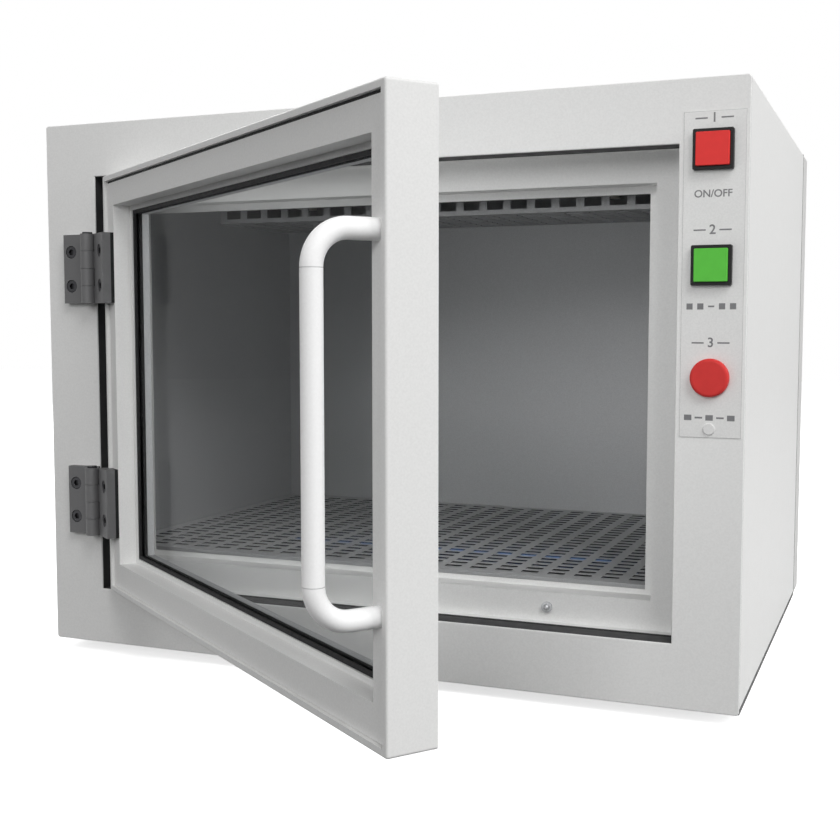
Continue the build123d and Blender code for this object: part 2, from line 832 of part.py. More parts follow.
# Mains inlet with its fuse drawer, low on the rear
socket_z = inlet_z - inlet_socket_drop
fuse_z = inlet_z + fuse_rise
socket_area = (
    inlet_x - inlet_socket_width / 2,
    inlet_x + inlet_socket_width / 2,
    socket_z - inlet_socket_height / 2,
    socket_z + inlet_socket_height / 2,
)
fuse_area = (
    inlet_x - fuse_width / 2,
    inlet_x + fuse_width / 2,
    fuse_z - fuse_height / 2,
    fuse_z + fuse_height / 2,
)
with BuildPart() as mains_inlet:
    with BuildSketch(front_plane(case_depth)):
        with Locations((inlet_x, inlet_z)):
            RectangleRounded(inlet_flange_width, inlet_flange_height, inlet_corner)
    extrude(amount=-inlet_flange_thickness)
    with BuildSketch(front_plane(case_depth)):
        with Locations((inlet_x, inlet_z)):
            Rectangle(inlet_body_width, inlet_body_height)
    extrude(amount=inlet_body_depth)
    inlet_face = case_depth + inlet_flange_thickness
    slab(front_plane(inlet_face), socket_area, inlet_socket_depth, inlet_corner, Mode.SUBTRACT)
    fuse_bay = grown(fuse_area, fuse_gap)
    slab(front_plane(inlet_face), fuse_bay, fuse_depth, 0.0, Mode.SUBTRACT)
save(mains_inlet.part, "mains_inlet")

with BuildPart() as inlet_pins:
    socket_floor = inlet_face - inlet_socket_depth
    with BuildSketch(front_plane(socket_floor)):
        with Locations((inlet_x, socket_z)):
            with Locations((-inlet_pin_spacing, -2), (0, 2), (inlet_pin_spacing, -2)):
                Rectangle(inlet_pin_width, inlet_pin_height)
    extrude(amount=-inlet_pin_length)
save(inlet_pins.part, "inlet_pins")

with BuildPart() as fuse_drawer:
    slab(front_plane(inlet_face + fuse_face_thickness), fuse_area, fuse_depth + fuse_face_thickness)
    fillet(fuse_drawer.faces().sort_by(Axis.Y)[-1].edges(), screw_clearance)
save(fuse_drawer.part, "fuse_drawer")

# Control column
with BuildPart() as label_plate:
    label_area = (label_left, label_right, label_bottom, label_top)
    slab(front_plane(0), label_area, label_thickness, label_corner)
    for place in control_holes:
        rod(front_plane(0), place, barrel_hole, label_thickness, Mode.SUBTRACT)
    rod(front_plane(0), (control_x, blank_plug_z), plug_hole, label_thickness, Mode.SUBTRACT)
save(label_plate.part, "label_plate")

well_floor = label_thickness + bezel_floor
cap_underside = well_floor + button_travel + travel_spare
cap_front = label_thickness + bezel_height + cap_proud


def button_bezel(z):
    """Draw a square bezel with its well and threaded barrel."""
    place = (control_x, z)
    bezel_front = front_plane(-label_thickness - bezel_height)
    square_block(front_plane(-label_thickness), place, bezel_size, bezel_corner, bezel_height)
    fillet(faces().filter_by(Plane.XZ).sort_by(Axis.Y)[0].edges(), bezel_edge)
    well_size = cap_size + 2 * cap_gap
    square_block(bezel_front, place, well_size, cap_corner, bezel_floor - bezel_height, Mode.SUBTRACT)
    rod(front_plane(-label_thickness), place, barrel_diameter, -(label_thickness + barrel_length))
    stem_hole = stem_diameter + 2 * stem_clearance
    stem_room = well_floor + stem_length
    rod(front_plane(-well_floor), place, stem_hole, -stem_room, Mode.SUBTRACT)


def button_cap(z):
    """Draw a square cap with the stem that works its switch."""
    place = (control_x, z)
    square_block(front_plane(-cap_underside), place, cap_size, cap_corner, cap_front - cap_underside)
    fillet(faces().filter_by(Plane.XZ).sort_by(Axis.Y)[0].edges(), cap_edge)
    rod(front_plane(-cap_underside), place, stem_diameter, -stem_length)


with BuildPart() as power_button_bezel:
    button_bezel(power_button_z)
save(power_button_bezel.part, "power_button_bezel")

with BuildPart() as power_button_cap:
    button_cap(power_button_z)
save(power_button_cap.part, "power_button_cap")

with BuildPart() as cycle_button_bezel:
    button_bezel(cycle_button_z)
save(cycle_button_bezel.part, "cycle_button_bezel")

with BuildPart() as cycle_button_cap:
    button_cap(cycle_button_z)
save(cycle_button_cap.part, "cycle_button_cap")

status_place = (control_x, status_lamp_z)
with BuildPart() as status_lamp_base:
    rod(front_plane(-label_thickness), status_place, status_base_diameter, status_base_height)
    rod(front_plane(-label_thickness), status_place, barrel_diameter, -(label_thickness + barrel_length))
save(status_lamp_base.part, "status_lamp_base")

# The lens is a low dome that covers its base
with BuildPart() as status_lamp_lens:
    rod(front_plane(-label_thickness), status_place, status_lens_diameter, status_lens_height)
    lens_front = status_lamp_lens.faces().filter_by(Plane.XZ).sort_by(Axis.Y)[0]
    fillet(lens_front.edges(), lens_edge_radius)
    base_pocket = status_base_diameter + 2 * cap_gap
    rod(front_plane(-label_thickness), status_place, base_pocket, status_base_height, Mode.SUBTRACT)
save(status_lamp_lens.part, "status_lamp_lens")

with BuildPart() as blank_plug:
    plug_place = (control_x, blank_plug_z)
    rod(front_plane(-label_thickness), plug_place, plug_diameter, plug_height)
    fillet(blank_plug.faces().sort_by(Axis.Y)[0].edges(), plug_height / 2)
    shank_length = label_thickness + plug_shank_length
    rod(front_plane(-label_thickness), plug_place, plug_shank_diameter, -shank_length)
save(blank_plug.part, "blank_plug")

with BuildPart() as panel_nuts:
    with BuildSketch(front_plane(panel_sheet)):
        with Locations(*control_holes):
            RegularPolygon(nut_diameter / 2, 6)
            Circle(barrel_diameter / 2 + barrel_clearance, mode=Mode.SUBTRACT)
    extrude(amount=-nut_thickness)
save(panel_nuts.part, "panel_nuts")

with BuildPart() as switch_bodies:
    with BuildSketch(front_plane(barrel_length)):
        with Locations(*control_holes):
            Rectangle(switch_body_size, switch_body_size)
    extrude(amount=-switch_body_depth)
save(switch_bodies.part, "switch_bodies")

# Interlock: a plunger in a bushing on the recess ledge, with its switch behind
interlock_place = (interlock_x, interlock_z)
bushing_end = recess_depth + bushing_length
plunger_front = recess_depth - plunger_proud
with BuildPart() as interlock_bushing:
    rod(front_plane(recess_depth), interlock_place, bushing_head_diameter, bushing_head_height)
    rod(front_plane(recess_depth), interlock_place, bushing_diameter, -bushing_length)
    plunger_hole = plunger_diameter + 2 * plunger_clearance
    bore_length = bushing_head_height + bushing_length
    bore_plane = front_plane(recess_depth - bushing_head_height)
    rod(bore_plane, interlock_place, plunger_hole, -bore_length, Mode.SUBTRACT)
save(interlock_bushing.part, "interlock_bushing")

with BuildPart() as interlock_plunger:
    plunger_length = bushing_end + plunger_tail - plunger_front
    rod(front_plane(plunger_front), interlock_place, plunger_diameter, -plunger_length)
    fillet(interlock_plunger.faces().sort_by(Axis.Y)[0].edges(), plunger_tip)
save(interlock_plunger.part, "interlock_plunger")

with BuildPart() as interlock_switch:
    with BuildSketch(front_plane(bushing_end)):
        with Locations(interlock_place):
            Rectangle(interlock_switch_width, interlock_switch_height)
    extrude(amount=-interlock_switch_depth)
    switch_hole_depth = plunger_tail + plunger_travel + travel_spare
    switch_plane = front_plane(bushing_end)
    rod(switch_plane, interlock_place, switch_hole_diameter, -switch_hole_depth, Mode.SUBTRACT)
save(interlock_switch.part, "interlock_switch")

# Hinges: thick leaves that share a row of knuckles round a headed pin
knuckle_height = (hinge_height - (knuckle_count - 1) * knuckle_gap) / knuckle_count
leaf_start = barrel_radius + leaf_to_barrel
leaf_near = hinge_axis_out - leaf_thickness
door_leaf_end = door_hinge_gap + window_stile - packing_gap


def hinge_leaf(hinge_z, on_door):
    """Draw one leaf; the case leaf has the top knuckle and every second one below it."""
    side = 1 if on_door else -1
    leaf_end = door_leaf_end if on_door else leaf_reach
    hinge_bottom = hinge_z - hinge_height / 2
    edges_x = sorted((side * leaf_start, side * leaf_end))
    leaf_area = (edges_x[0], edges_x[1], leaf_near, hinge_axis_out)
    slab(hinge_plane(hinge_bottom, on_door), leaf_area, hinge_height)
    outer_edges = edges().filter_by(Axis.Z).sort_by_distance(hinge_plane(hinge_z, on_door).origin)
    fillet(outer_edges[-2], leaf_edge_radius)
    web_x = sorted((0.0, side * leaf_start))
    for row in range(knuckle_count):
        if (row % 2 == 0) == on_door:
            knuckle_z = hinge_bottom + row * (knuckle_height + knuckle_gap)
            knuckle_plane = hinge_plane(knuckle_z, on_door)
            slab(knuckle_plane, (web_x[0], web_x[1], leaf_near, hinge_axis_out), knuckle_height)
            rod(knuckle_plane, (0, 0), 2 * barrel_radius, knuckle_height)
    pin_hole = pin_diameter + 2 * pin_clearance
    rod(hinge_plane(hinge_bottom, on_door), (0, 0), pin_hole, hinge_height, Mode.SUBTRACT)
    leaf_plane = door_plane(-leaf_thickness) if on_door else front_plane(-leaf_thickness)
    screw_x = hinge_screw_from_axis - door_hinge_gap if on_door else case_screw_x
    for z in (hinge_z - hinge_screw_spacing / 2, hinge_z + hinge_screw_spacing / 2):
        rod(leaf_plane, (screw_x, z), hinge_hole, -leaf_thickness, Mode.SUBTRACT)
        rod(leaf_plane, (screw_x, z), hinge_counterbore, -hinge_counterbore_depth, Mode.SUBTRACT)


def hinge_screw(plane, place):
    """Draw a socket-head screw whose head sits on the given plane."""
    rod(plane, place, hinge_screw_head, hinge_screw_head_height)
    rod(plane, place, hinge_screw_diameter, -hinge_screw_reach)
    with BuildSketch(plane.offset(hinge_screw_head_height)) as socket:
        with Locations(place):
            RegularPolygon(hex_socket_width / 2, 6, major_radius=False)
    extrude(socket.sketch, amount=-hex_socket_depth, mode=Mode.SUBTRACT)


with BuildPart() as upper_hinge_case_leaf:
    hinge_leaf(upper_hinge_z, False)
save(upper_hinge_case_leaf.part, "upper_hinge_case_leaf")

with BuildPart() as lower_hinge_case_leaf:
    hinge_leaf(lower_hinge_z, False)
save(lower_hinge_case_leaf.part, "lower_hinge_case_leaf")

with BuildPart() as upper_hinge_door_leaf:
    hinge_leaf(upper_hinge_z, True)
save(upper_hinge_door_leaf.part, "upper_hinge_door_leaf")

with BuildPart() as lower_hinge_door_leaf:
    hinge_leaf(lower_hinge_z, True)
save(lower_hinge_door_leaf.part, "lower_hinge_door_leaf")

with BuildPart() as hinge_pins:
    for hinge_z in (upper_hinge_z, lower_hinge_z):
        rod(hinge_plane(hinge_z - hinge_height / 2, False), (0, 0), pin_diameter, hinge_height)
        rod(hinge_plane(hinge_z + hinge_height / 2, False), (0, 0), pin_head_diameter, pin_head_height)
save(hinge_pins.part, "hinge_pins")

head_seat_depth = leaf_thickness - hinge_counterbore_depth
with BuildPart() as case_hinge_screws:
    for z in hinge_screw_heights:
        hinge_screw(front_plane(-head_seat_depth), (case_screw_x, z))
save(case_hinge_screws.part, "case_hinge_screws")

with BuildPart() as door_hinge_screws:
    for z in hinge_screw_heights:
        hinge_screw(door_plane(-head_seat_depth), (hinge_screw_from_axis - door_hinge_gap, z))
save(door_hinge_screws.part, "door_hinge_screws")

with BuildPart() as hinge_backing_plates:
    for hinge_z in (upper_hinge_z, lower_hinge_z):
        plate = (
            case_screw_x - backing_width / 2,
            case_screw_x + backing_width / 2,
            hinge_z - hinge_height / 2,
            hinge_z + hinge_height / 2,
        )
        slab(front_plane(panel_sheet), plate, -backing_thickness)
    for z in hinge_screw_heights:
        rod(front_plane(panel_sheet), (case_screw_x, z), hinge_hole, -backing_thickness, Mode.SUBTRACT)
save(hinge_backing_plates.part, "hinge_backing_plates")

with BuildPart() as hinge_packing_plates:
    packing_edge = window_stile - packing_gap
    for hinge_z in (upper_hinge_z, lower_hinge_z):
        plate = (
            rim_width + packing_gap,
            packing_edge,
            hinge_z - hinge_height / 2,
            hinge_z + hinge_height / 2,
        )
        slab(door_plane(0), plate, -face_setback)
    for z in hinge_screw_heights:
        place = (hinge_screw_from_axis - door_hinge_gap, z)
        rod(door_plane(0), place, hinge_hole, -face_setback, Mode.SUBTRACT)
save(hinge_packing_plates.part, "hinge_packing_plates")

# Door frame: a welded rim with a front ledge for the face and a rear ledge for the back panel
door_area = (0.0, door_width, door_bottom, door_bottom + door_height)
face_back = face_setback + face_sheet
back_skin = door_thickness - face_sheet
rim_inside = grown(door_area, -rim_width)
with BuildPart() as door_frame:
    ring(door_plane(0), door_area, rim_inside, -door_thickness, door_corner)
    rim_front = door_frame.faces().sort_by(Axis(door_plane(0).origin, door_plane(0).z_dir))[-1]
    fillet(rim_front.outer_wire().edges(), door_edge_radius)
    ring(door_plane(face_back), rim_inside, grown(rim_inside, -front_ledge), -face_sheet)
    ring(door_plane(back_skin), rim_inside, grown(rim_inside, -rear_ledge), face_sheet)
save(door_frame.part, "door_frame")

# Face panel: pressed sheet set back inside the rim, with a reveal and a ledge round the window
window = grown(door_area, -window_stile)
window = (window[0], window[1], door_bottom + window_rail, door_bottom + door_height - window_rail)
ledge_front = face_setback + window_reveal
ledge_edge = grown(window, -window_ledge)
clear_view = grown(ledge_edge, -gasket_show)
reveal_outside = grown(window, face_sheet)
handle_low = door_bottom + handle_leg_height
handle_high = handle_low + handle_spacing
handle_hole = handle_screw_diameter + 2 * screw_clearance
with BuildPart() as door_face_panel:
    face_area = (
        rim_inside[0] + face_side_gap,
        rim_inside[1] - face_side_gap,
        rim_inside[2] + face_bottom_gap,
        rim_inside[3] - face_top_gap,
    )
    ring(door_plane(face_setback), face_area, window, -face_sheet)
    ring(door_plane(face_setback), reveal_outside, window, -(window_reveal + face_sheet))
    ring(door_plane(ledge_front), reveal_outside, ledge_edge, -face_sheet)
    for z in hinge_screw_heights:
        place = (hinge_screw_from_axis - door_hinge_gap, z)
        rod(door_plane(face_setback), place, hinge_hole, -face_sheet, Mode.SUBTRACT)
    for z in (handle_low, handle_high):
        rod(door_plane(face_setback), (handle_u, z), handle_hole, -face_sheet, Mode.SUBTRACT)
save(door_face_panel.part, "door_face_panel")

# Window: a pane held in the groove of a black rubber gasket
gasket_start = ledge_front + face_sheet
pane_front = gasket_start + gasket_front
with BuildPart() as window_gasket:
    ring(door_plane(gasket_start), reveal_outside, clear_view, -gasket_depth)
    groove = grown(clear_view, pane_grip + pane_edge_gap)
    slab(door_plane(pane_front), groove, -pane_thickness, 0.0, Mode.SUBTRACT)
save(window_gasket.part, "window_gasket")

with BuildPart() as window_pane:
    slab(door_plane(pane_front), grown(clear_view, pane_grip), -pane_thickness)
save(window_pane.part, "window_pane")

# Back panel: closes the door from behind and presses the gasket against the ledge
gasket_end = gasket_start + gasket_depth
with BuildPart() as door_back_panel:
    ring(door_plane(back_skin), grown(rim_inside, -back_panel_gap), clear_view, -face_sheet)
    wall_length = back_skin - gasket_end
    ring(door_plane(gasket_end), grown(clear_view, face_sheet), clear_view, -wall_length)
    ring(door_plane(gasket_end), reveal_outside, clear_view, -face_sheet)
save(door_back_panel.part, "door_back_panel")

# Door seal: a soft strip that meets the ledge just outside its inner edge
door_shift = opening_left + door_hinge_gap
seal_inside = grown(inner_opening, seal_offset)
seal_inside = (seal_inside[0] - door_shift, seal_inside[1] - door_shift, seal_inside[2], seal_inside[3])
with BuildPart() as door_seal:
    seal_outside = grown(seal_inside, seal_width)
    ring(door_plane(door_thickness), seal_outside, seal_inside, -seal_height, seal_corner)
save(door_seal.part, "door_seal")

# Handle: a round bar bent towards the door at both ends, screwed on from inside
with BuildPart() as door_handle:
    with BuildLine() as handle_path:
        FilletPolyline(
            door_point(handle_u, face_setback, handle_low),
            door_point(handle_u, -handle_centre_out, handle_low),
            door_point(handle_u, -handle_centre_out, handle_high),
            door_point(handle_u, face_setback, handle_high),
            radius=handle_bend,
        )
    with BuildSketch(Plane(origin=handle_path.line @ 0, z_dir=handle_path.line % 0)):
        Circle(handle_diameter / 2)
    sweep(path=handle_path.line)
    for z in (handle_low, handle_high):
        rod(door_plane(face_setback), (handle_u, z), handle_hole, handle_screw_depth, Mode.SUBTRACT)
save(door_handle.part, "door_handle")

with BuildPart() as handle_screws:
    for z in (handle_low, handle_high):
        rod(door_plane(face_back), (handle_u, z), handle_screw_head, -handle_screw_head_height)
        rod(door_plane(face_back), (handle_u, z), handle_screw_diameter, handle_screw_depth)
save(handle_screws.part, "handle_screws")
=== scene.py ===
"""Finishes, rubber strips, lamps, panel marks and studio for the disinfection box."""

import json
import math

import bmesh
import bpy
from mathutils import Matrix, Vector


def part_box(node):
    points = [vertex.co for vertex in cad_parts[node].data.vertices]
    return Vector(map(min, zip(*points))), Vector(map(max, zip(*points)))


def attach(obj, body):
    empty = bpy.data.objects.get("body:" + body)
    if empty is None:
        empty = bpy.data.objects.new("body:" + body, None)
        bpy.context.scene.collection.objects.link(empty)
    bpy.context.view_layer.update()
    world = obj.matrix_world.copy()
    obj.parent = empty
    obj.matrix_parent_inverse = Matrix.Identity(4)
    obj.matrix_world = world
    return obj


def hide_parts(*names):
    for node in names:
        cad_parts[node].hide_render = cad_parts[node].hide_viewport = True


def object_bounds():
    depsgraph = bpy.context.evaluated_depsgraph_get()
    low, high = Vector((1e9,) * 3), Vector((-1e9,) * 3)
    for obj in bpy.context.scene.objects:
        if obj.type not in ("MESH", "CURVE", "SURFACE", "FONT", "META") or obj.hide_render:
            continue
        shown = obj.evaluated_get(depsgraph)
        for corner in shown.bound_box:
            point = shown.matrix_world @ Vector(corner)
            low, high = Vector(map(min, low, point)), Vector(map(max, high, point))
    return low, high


bl_info = {
    "name": "Disinfection Box",
    "version": (1, 0, 0),
    "blender": (4, 5, 0),
    "location": "View3D > Sidebar > Box",
    "description": "Dresses the disinfection box and sets its studio",
    "category": "Object",
}

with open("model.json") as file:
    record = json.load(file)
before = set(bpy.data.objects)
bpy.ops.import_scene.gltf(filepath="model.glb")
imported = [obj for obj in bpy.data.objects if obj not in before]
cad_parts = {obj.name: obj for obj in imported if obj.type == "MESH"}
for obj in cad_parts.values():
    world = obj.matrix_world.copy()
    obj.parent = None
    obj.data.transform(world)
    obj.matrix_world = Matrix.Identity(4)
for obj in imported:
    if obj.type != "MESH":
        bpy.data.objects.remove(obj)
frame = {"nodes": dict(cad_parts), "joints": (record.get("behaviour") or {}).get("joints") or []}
CAD_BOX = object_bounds()
MM = 0.001
# Steps of a quarter turn round a corner, and of whole turns
FINE_ARC = 8
ROUND_ARC = 48
VAPOUR_ARC = 24
STEM_ARC = 16
# Colours of the small pieces
ZINC_SHEET = "#A9ACAE"
ZINC_PLATING = "#B9BBBD"
BLACKENED_SCREW = "#3A3A3C"
BLACKENED_PIN = "#2E2E30"
GROUND_STEEL = "#B4B5B7"
TUNGSTEN = "#8A8B8E"
ALUMINIUM = "#C4C6C8"
IVORY_PLASTIC = "#DEDBD2"
NICKEL_PLATING = "#C9BFA0"
BOARD_LACQUER = "#1E5A38"
# Welded vertices lie closer together than this
WELD_REACH = 0.002 * MM
# Faces that meet at a sharper angle than this keep a hard edge
SHARP_ANGLE = math.radians(35)
# The joint in front of the rear cover, and how deep the black strip that paints shade in it lies
JOINT_WIDTH = 6.0 * MM
JOINT_SLACK = 0.3 * MM
SHADE_STRIP_DEPTH = 1.3 * MM
# The joint between the door's rim and its face panel, and the sealant in it
DOOR_RIM = 5.0 * MM
SEALANT_FRONT = 0.4 * MM
SEALANT_BACK = 1.0 * MM
SEALANT_SLACK = 0.06 * MM
# How far the gasket holds the pane, and the room that it leaves at the pane's edge
PANE_GRIP = 3.8 * MM
PANE_SLACK = 0.2 * MM
SEAL_WIDTH = 5.0 * MM
# Corner radii of the lining, gasket and seal
LINING_CORNER = 1.0 * MM
GASKET_CORNER = 0.8 * MM
SEAL_CORNER = 3.0 * MM
FOOT_RADIUS = 12.5 * MM
# The front panel's white coat gives way to painted shade this far behind its face
SHADE_DEPTH = 1.5 * MM
# A depth in metres that lies behind the whole box
BEHIND_ALL = 1.0
# The zone under the shelf's top where painted shade darkens the upright faces of its holes
SHELF_SHEET = 0.9 * MM
SHELF_SLACK = 0.1 * MM

HINGE = next(joint for joint in frame["joints"] if joint["name"] == "door_hinge")
OPEN_ANGLE = -math.radians(HINGE["range_deg"][0])
HINGE_AXIS = Vector((HINGE["pos_m"][0], HINGE["pos_m"][1], 0.0))
# The closed door's own frame: across from the hinge axis, inwards from it, and up
DOOR_REST = Matrix.Translation(HINGE_AXIS) @ Matrix.Rotation(-OPEN_ANGLE, 4, "Z")
# Hairline printed along the edge of the label film
EDGE_LINE = 0.12 * MM
# Body of the printed marks, and how far they stand in front of the film
INK_BODY = 0.1 * MM
INK_RISE = 0.06 * MM
# Numbers with a rule on each side: text and height above the ground
NUMBER_ROWS = (("1", 459.8 * MM), ("2", 377.5 * MM), ("3", 293.4 * MM))
NUMBER_SIZE = 7.0 * MM
RULE_SHIFT = 9.5 * MM
RULE_WIDTH = 9.0 * MM
RULE_HEIGHT = 1.1 * MM
# The switch's words, and the two rows of squares and dashes
SWITCH_ROW = 404.1 * MM
SWITCH_SIZE = 5.4 * MM
SIGN_PITCH = 8.0 * MM
UPPER_SIGN_ROW = 320.7 * MM
UPPER_SIGN_SIDE = 4.6 * MM
UPPER_DASH_HEIGHT = 1.2 * MM
LOWER_SIGN_ROW = 237.0 * MM
LOWER_SIGN_WIDTH = 5.6 * MM
LOWER_SIGN_HEIGHT = 4.2 * MM
LOWER_DASH_HEIGHT = 1.3 * MM
# A capital's share of the font size, and how much bolder the figures are
CAPITAL_SHARE = 0.7
BOLD_SHARE = 0.022
# A cathode's stem from its tip to its flared foot: share of its length, and radius
STEM_STEPS = ((0.7, 0.0), (0.68, 1.6 * MM), (0.4, 2.2 * MM), (0.0, 4.5 * MM))
COIL_TURNS = 9
COIL_TURN_STEPS = 10
# Half the side of the floor, in metres
FLOOR_REACH = 6.0
# Name, place and side length in metres, and power setting of each lamp
STUDIO_LAMPS = (
    ("key_lamp", (2.49, -2.33, 3.42), 2.2, "key_power"),
    ("side_lamp", (2.2, 0.0, 0.9), 1.4, "side_power"),
    ("front_lamp", (0.32, -4.43, 1.72), 1.8, "front_power"),
    ("back_lamp", (-2.0, 2.6, 1.6), 2.2, "back_power"),
)
# Where the handle's bends meet its straight tube, and how wide the joint shows
HANDLE_JOINTS = (163.5 * MM, 337.5 * MM)
JOINT_LINE = 0.5 * MM


def colour_setting(name, text, value):
    """A colour that the user can change, given and kept as an sRGB hex value."""
    return bpy.props.StringProperty(name=name, description=text, default=value)


def length_setting(name, text, value):
    """A length in metres that the user can change, given in millimetres."""
    return bpy.props.FloatProperty(
        name=name, description=text, default=value * MM, min=0.0, subtype="DISTANCE", unit="LENGTH"
    )


def power_setting(name, text, value):
    """A lamp's power in watts that the user can change."""
    return bpy.props.FloatProperty(
        name=name, description=text, default=value, min=0.0, unit="POWER"
    )


class FinishSettings(bpy.types.PropertyGroup):
    """Colours of the finishes."""

    coat: colour_setting("Coat", "White powder coat of the cabinet and door", "#E9E9E8")
    handle: colour_setting("Handle", "White coat of the handle", "#FFFFFF")
    rubber: colour_setting("Rubber", "Black rubber of the strips and feet", "#1C1C1D")
    liner: colour_setting("Liner", "Satin stainless steel of the chamber", "#BDBEBF")
    # Painted light: the shelf is the liner's satin steel drawn a little lighter
    shelf: colour_setting("Shelf", "Satin stainless steel of the shelf", "#C6C7C8")
    # Painted shade: dark colour on the upright faces of the shelf's holes
    hole_shade: colour_setting("Punched edges", "Dull edges of the shelf's holes", "#2A2A2B")
    # Painted shade: dark grey on the return inside the front panel's opening, where shade falls
    painted_shade: colour_setting("Primer", "Dark primer inside the front panel's opening", "#3E3E3F")
    # Painted shade: the lamp guard is the liner's satin steel drawn darker
    guard: colour_setting("Lamp guard", "Darker stainless steel of the lamp guard", "#7E7F80")
    rear: colour_setting("Rear cover", "Powder coat of the rear cover", "#D6D6D5")
    # Painted shade: the base plate is drawn black so that the gap under the case's sides looks
    # shadowed
    base_shade: colour_setting("Chassis", "Black powder coat of the base plate", "#242425")
    hinge: colour_setting("Hinge", "Grey coat of the hinges", "#5A5A5B")
    bezel: colour_setting("Bezel", "Black moulded plastic", "#101011")
    stop: colour_setting("Power button", "Cap of the power button", "#E63D3B")
    start: colour_setting("Cycle button", "Cap of the cycle button", "#5FC448")
    status: colour_setting("Status lamp", "Lens of the status lamp", "#D23C3A")
    film: colour_setting("Label film", "Printed film behind the controls", "#DCDCDB")
    ink: colour_setting("Ink", "Marks printed on the film", "#6E6E70")
    lamp: colour_setting("Lamp glass", "Clear glass of both lamps", "#DDE2E6")
    # Painted glint: blue of the lower lamp's thin glowing core, which draws a row of glints on the
    # tube
    vapour_glint_colour: colour_setting("Lit lamp", "Blue vapour of the lower lamp", "#3C92DC")
    window: colour_setting("Window", "Pane in the door", "#D9DADA")


class StripSettings(bpy.types.PropertyGroup):
    """Sizes of the rubber strips."""

    gasket_lip: length_setting("Gasket lip", "How far the lip leans over the pane", 0.6)
    seal_wall: length_setting("Seal wall", "Wall of the hollow door seal", 1.0)
    lining_wall: length_setting("Lining wall", "Thickness of the recess lining", 3.0)
    lining_bead: length_setting("Lining bead", "Round front edge of the recess lining", 1.2)


class LampSettings(bpy.types.PropertyGroup):
    """Sizes inside the two lamps."""

    glass_wall: length_setting("Glass wall", "Wall of a lamp tube", 0.9)
    coil_wire: length_setting("Coil wire", "Wire of a cathode coil", 0.3)
    coil_radius: length_setting("Coil radius", "Radius of a cathode coil", 0.9)
    coil_length: length_setting("Coil length", "Length of a cathode coil", 9.0)
    # Painted glint: the glowing core is kept thin and bright so that it shows as one row of glints
    # through the shelf
    vapour_glint_radius: length_setting("Vapour radius", "Radius of the glowing core of the lit lamp", 1.6)
    vapour_glint_glow: bpy.props.FloatProperty(
        name="Vapour glow", description="Brightness of the lit lamp", default=1.3
    )
    stem_length: length_setting("Stem length", "Glass stem that carries a cathode", 16.0)


class StageSettings(bpy.types.PropertyGroup):
    """Camera, lamps and floor."""

    camera_place: bpy.props.FloatVectorProperty(
        name="Camera",
        description="Camera position",
        default=(0.4317, -1.0070, 0.3061),
        subtype="XYZ",
        unit="LENGTH",
    )
    camera_heading: bpy.props.FloatProperty(
        name="Heading",
        description="Camera turn to the left",
        default=math.radians(22.04),
        subtype="ANGLE",
    )
    camera_drop: bpy.props.FloatProperty(
        name="Drop",
        description="Camera tilt downwards",
        default=math.radians(4.43),
        subtype="ANGLE",
    )
    lens: bpy.props.FloatProperty(
        name="Lens", description="Focal length on a 36 mm sensor, in millimetres", default=52.03
    )
    world_level: bpy.props.FloatProperty(
        name="World", description="Strength of the light from all round", default=0.28
    )
    key_power: power_setting("Key", "Lamp high on the right", 88.0)
    side_power: power_setting("Side", "Lamp close to the right side", 21.0)
    front_power: power_setting("Front", "Lamp in front", 62.0)
    back_power: power_setting("Back", "Lamp behind on the left", 70.0)
    floor: colour_setting("Floor", "Pale floor as it looks", "#FAFAFA")
    floor_bounce: colour_setting("Floor bounce", "Floor as it lights the object", "#303030")
    floor_glow: bpy.props.FloatProperty(
        name="Floor glow",
        description="Part of the floor's white that no shadow takes away",
        default=0.72,
    )


# Nodes and meshes


def linear(text):
    """An sRGB hex colour as the linear values that the shaders take."""
    values = [int(text[i : i + 2], 16) / 255.0 for i in (1, 3, 5)]
    return [v / 12.92 if v <= 0.04045 else ((v + 0.055) / 1.055) ** 2.4 for v in values] + [1.0]


def shade(text, factor):
    """The colour made lighter or darker by a factor, still linear."""
    return [min(1.0, v * factor) for v in linear(text)[:3]] + [1.0]


def add_node(tree, kind, values=None, links=None, **settings):
    """Add a node, give it its settings and input values, and join its inputs."""
    node = tree.nodes.new(kind)
    for key, value in settings.items():
        setattr(node, key, value)
    for key, value in (values or {}).items():
        node.inputs[key].default_value = value
    for key, source in (links or {}).items():
        tree.links.new(source, node.inputs[key])
    return node


def new_finish(name, colour, roughness, **values):
    """A material with one principled shader; returns it, its tree and the shader."""
    material = bpy.data.materials.new(name)
    material.use_nodes = True
    tree = material.node_tree
    shader = tree.nodes["Principled BSDF"]
    shader.inputs["Base Color"].default_value = colour
    shader.inputs["Roughness"].default_value = roughness
    for key, value in values.items():
        shader.inputs[key.replace("_", " ")].default_value = value
    return material, tree, shader


def place_pattern(tree, grain):
    """Object coordinates divided by a grain size in millimetres, one for each axis."""
    where = add_node(tree, "ShaderNodeTexCoord")
    stretch = Vector([1.0 / (size * MM) for size in grain])
    return add_node(
        tree, "ShaderNodeMapping", {"Scale": stretch}, {"Vector": where.outputs["Object"]}
    ).outputs["Vector"]


def speckle(tree, shader, grain, low, high, detail=2.0):
    """Colour that wanders between two tones over a grain size."""
    noise = add_node(
        tree,
        "ShaderNodeTexNoise",
        {"Scale": 1.0, "Detail": detail},
        {"Vector": place_pattern(tree, grain)},
    )
    ramp = add_node(tree, "ShaderNodeValToRGB", None, {"Fac": noise.outputs["Fac"]})
    ramp.color_ramp.elements[0].position = 0.32
    ramp.color_ramp.elements[1].position = 0.68
    ramp.color_ramp.elements[0].color = low
    ramp.color_ramp.elements[1].color = high
    tree.links.new(ramp.outputs["Color"], shader.inputs["Base Color"])
    return ramp


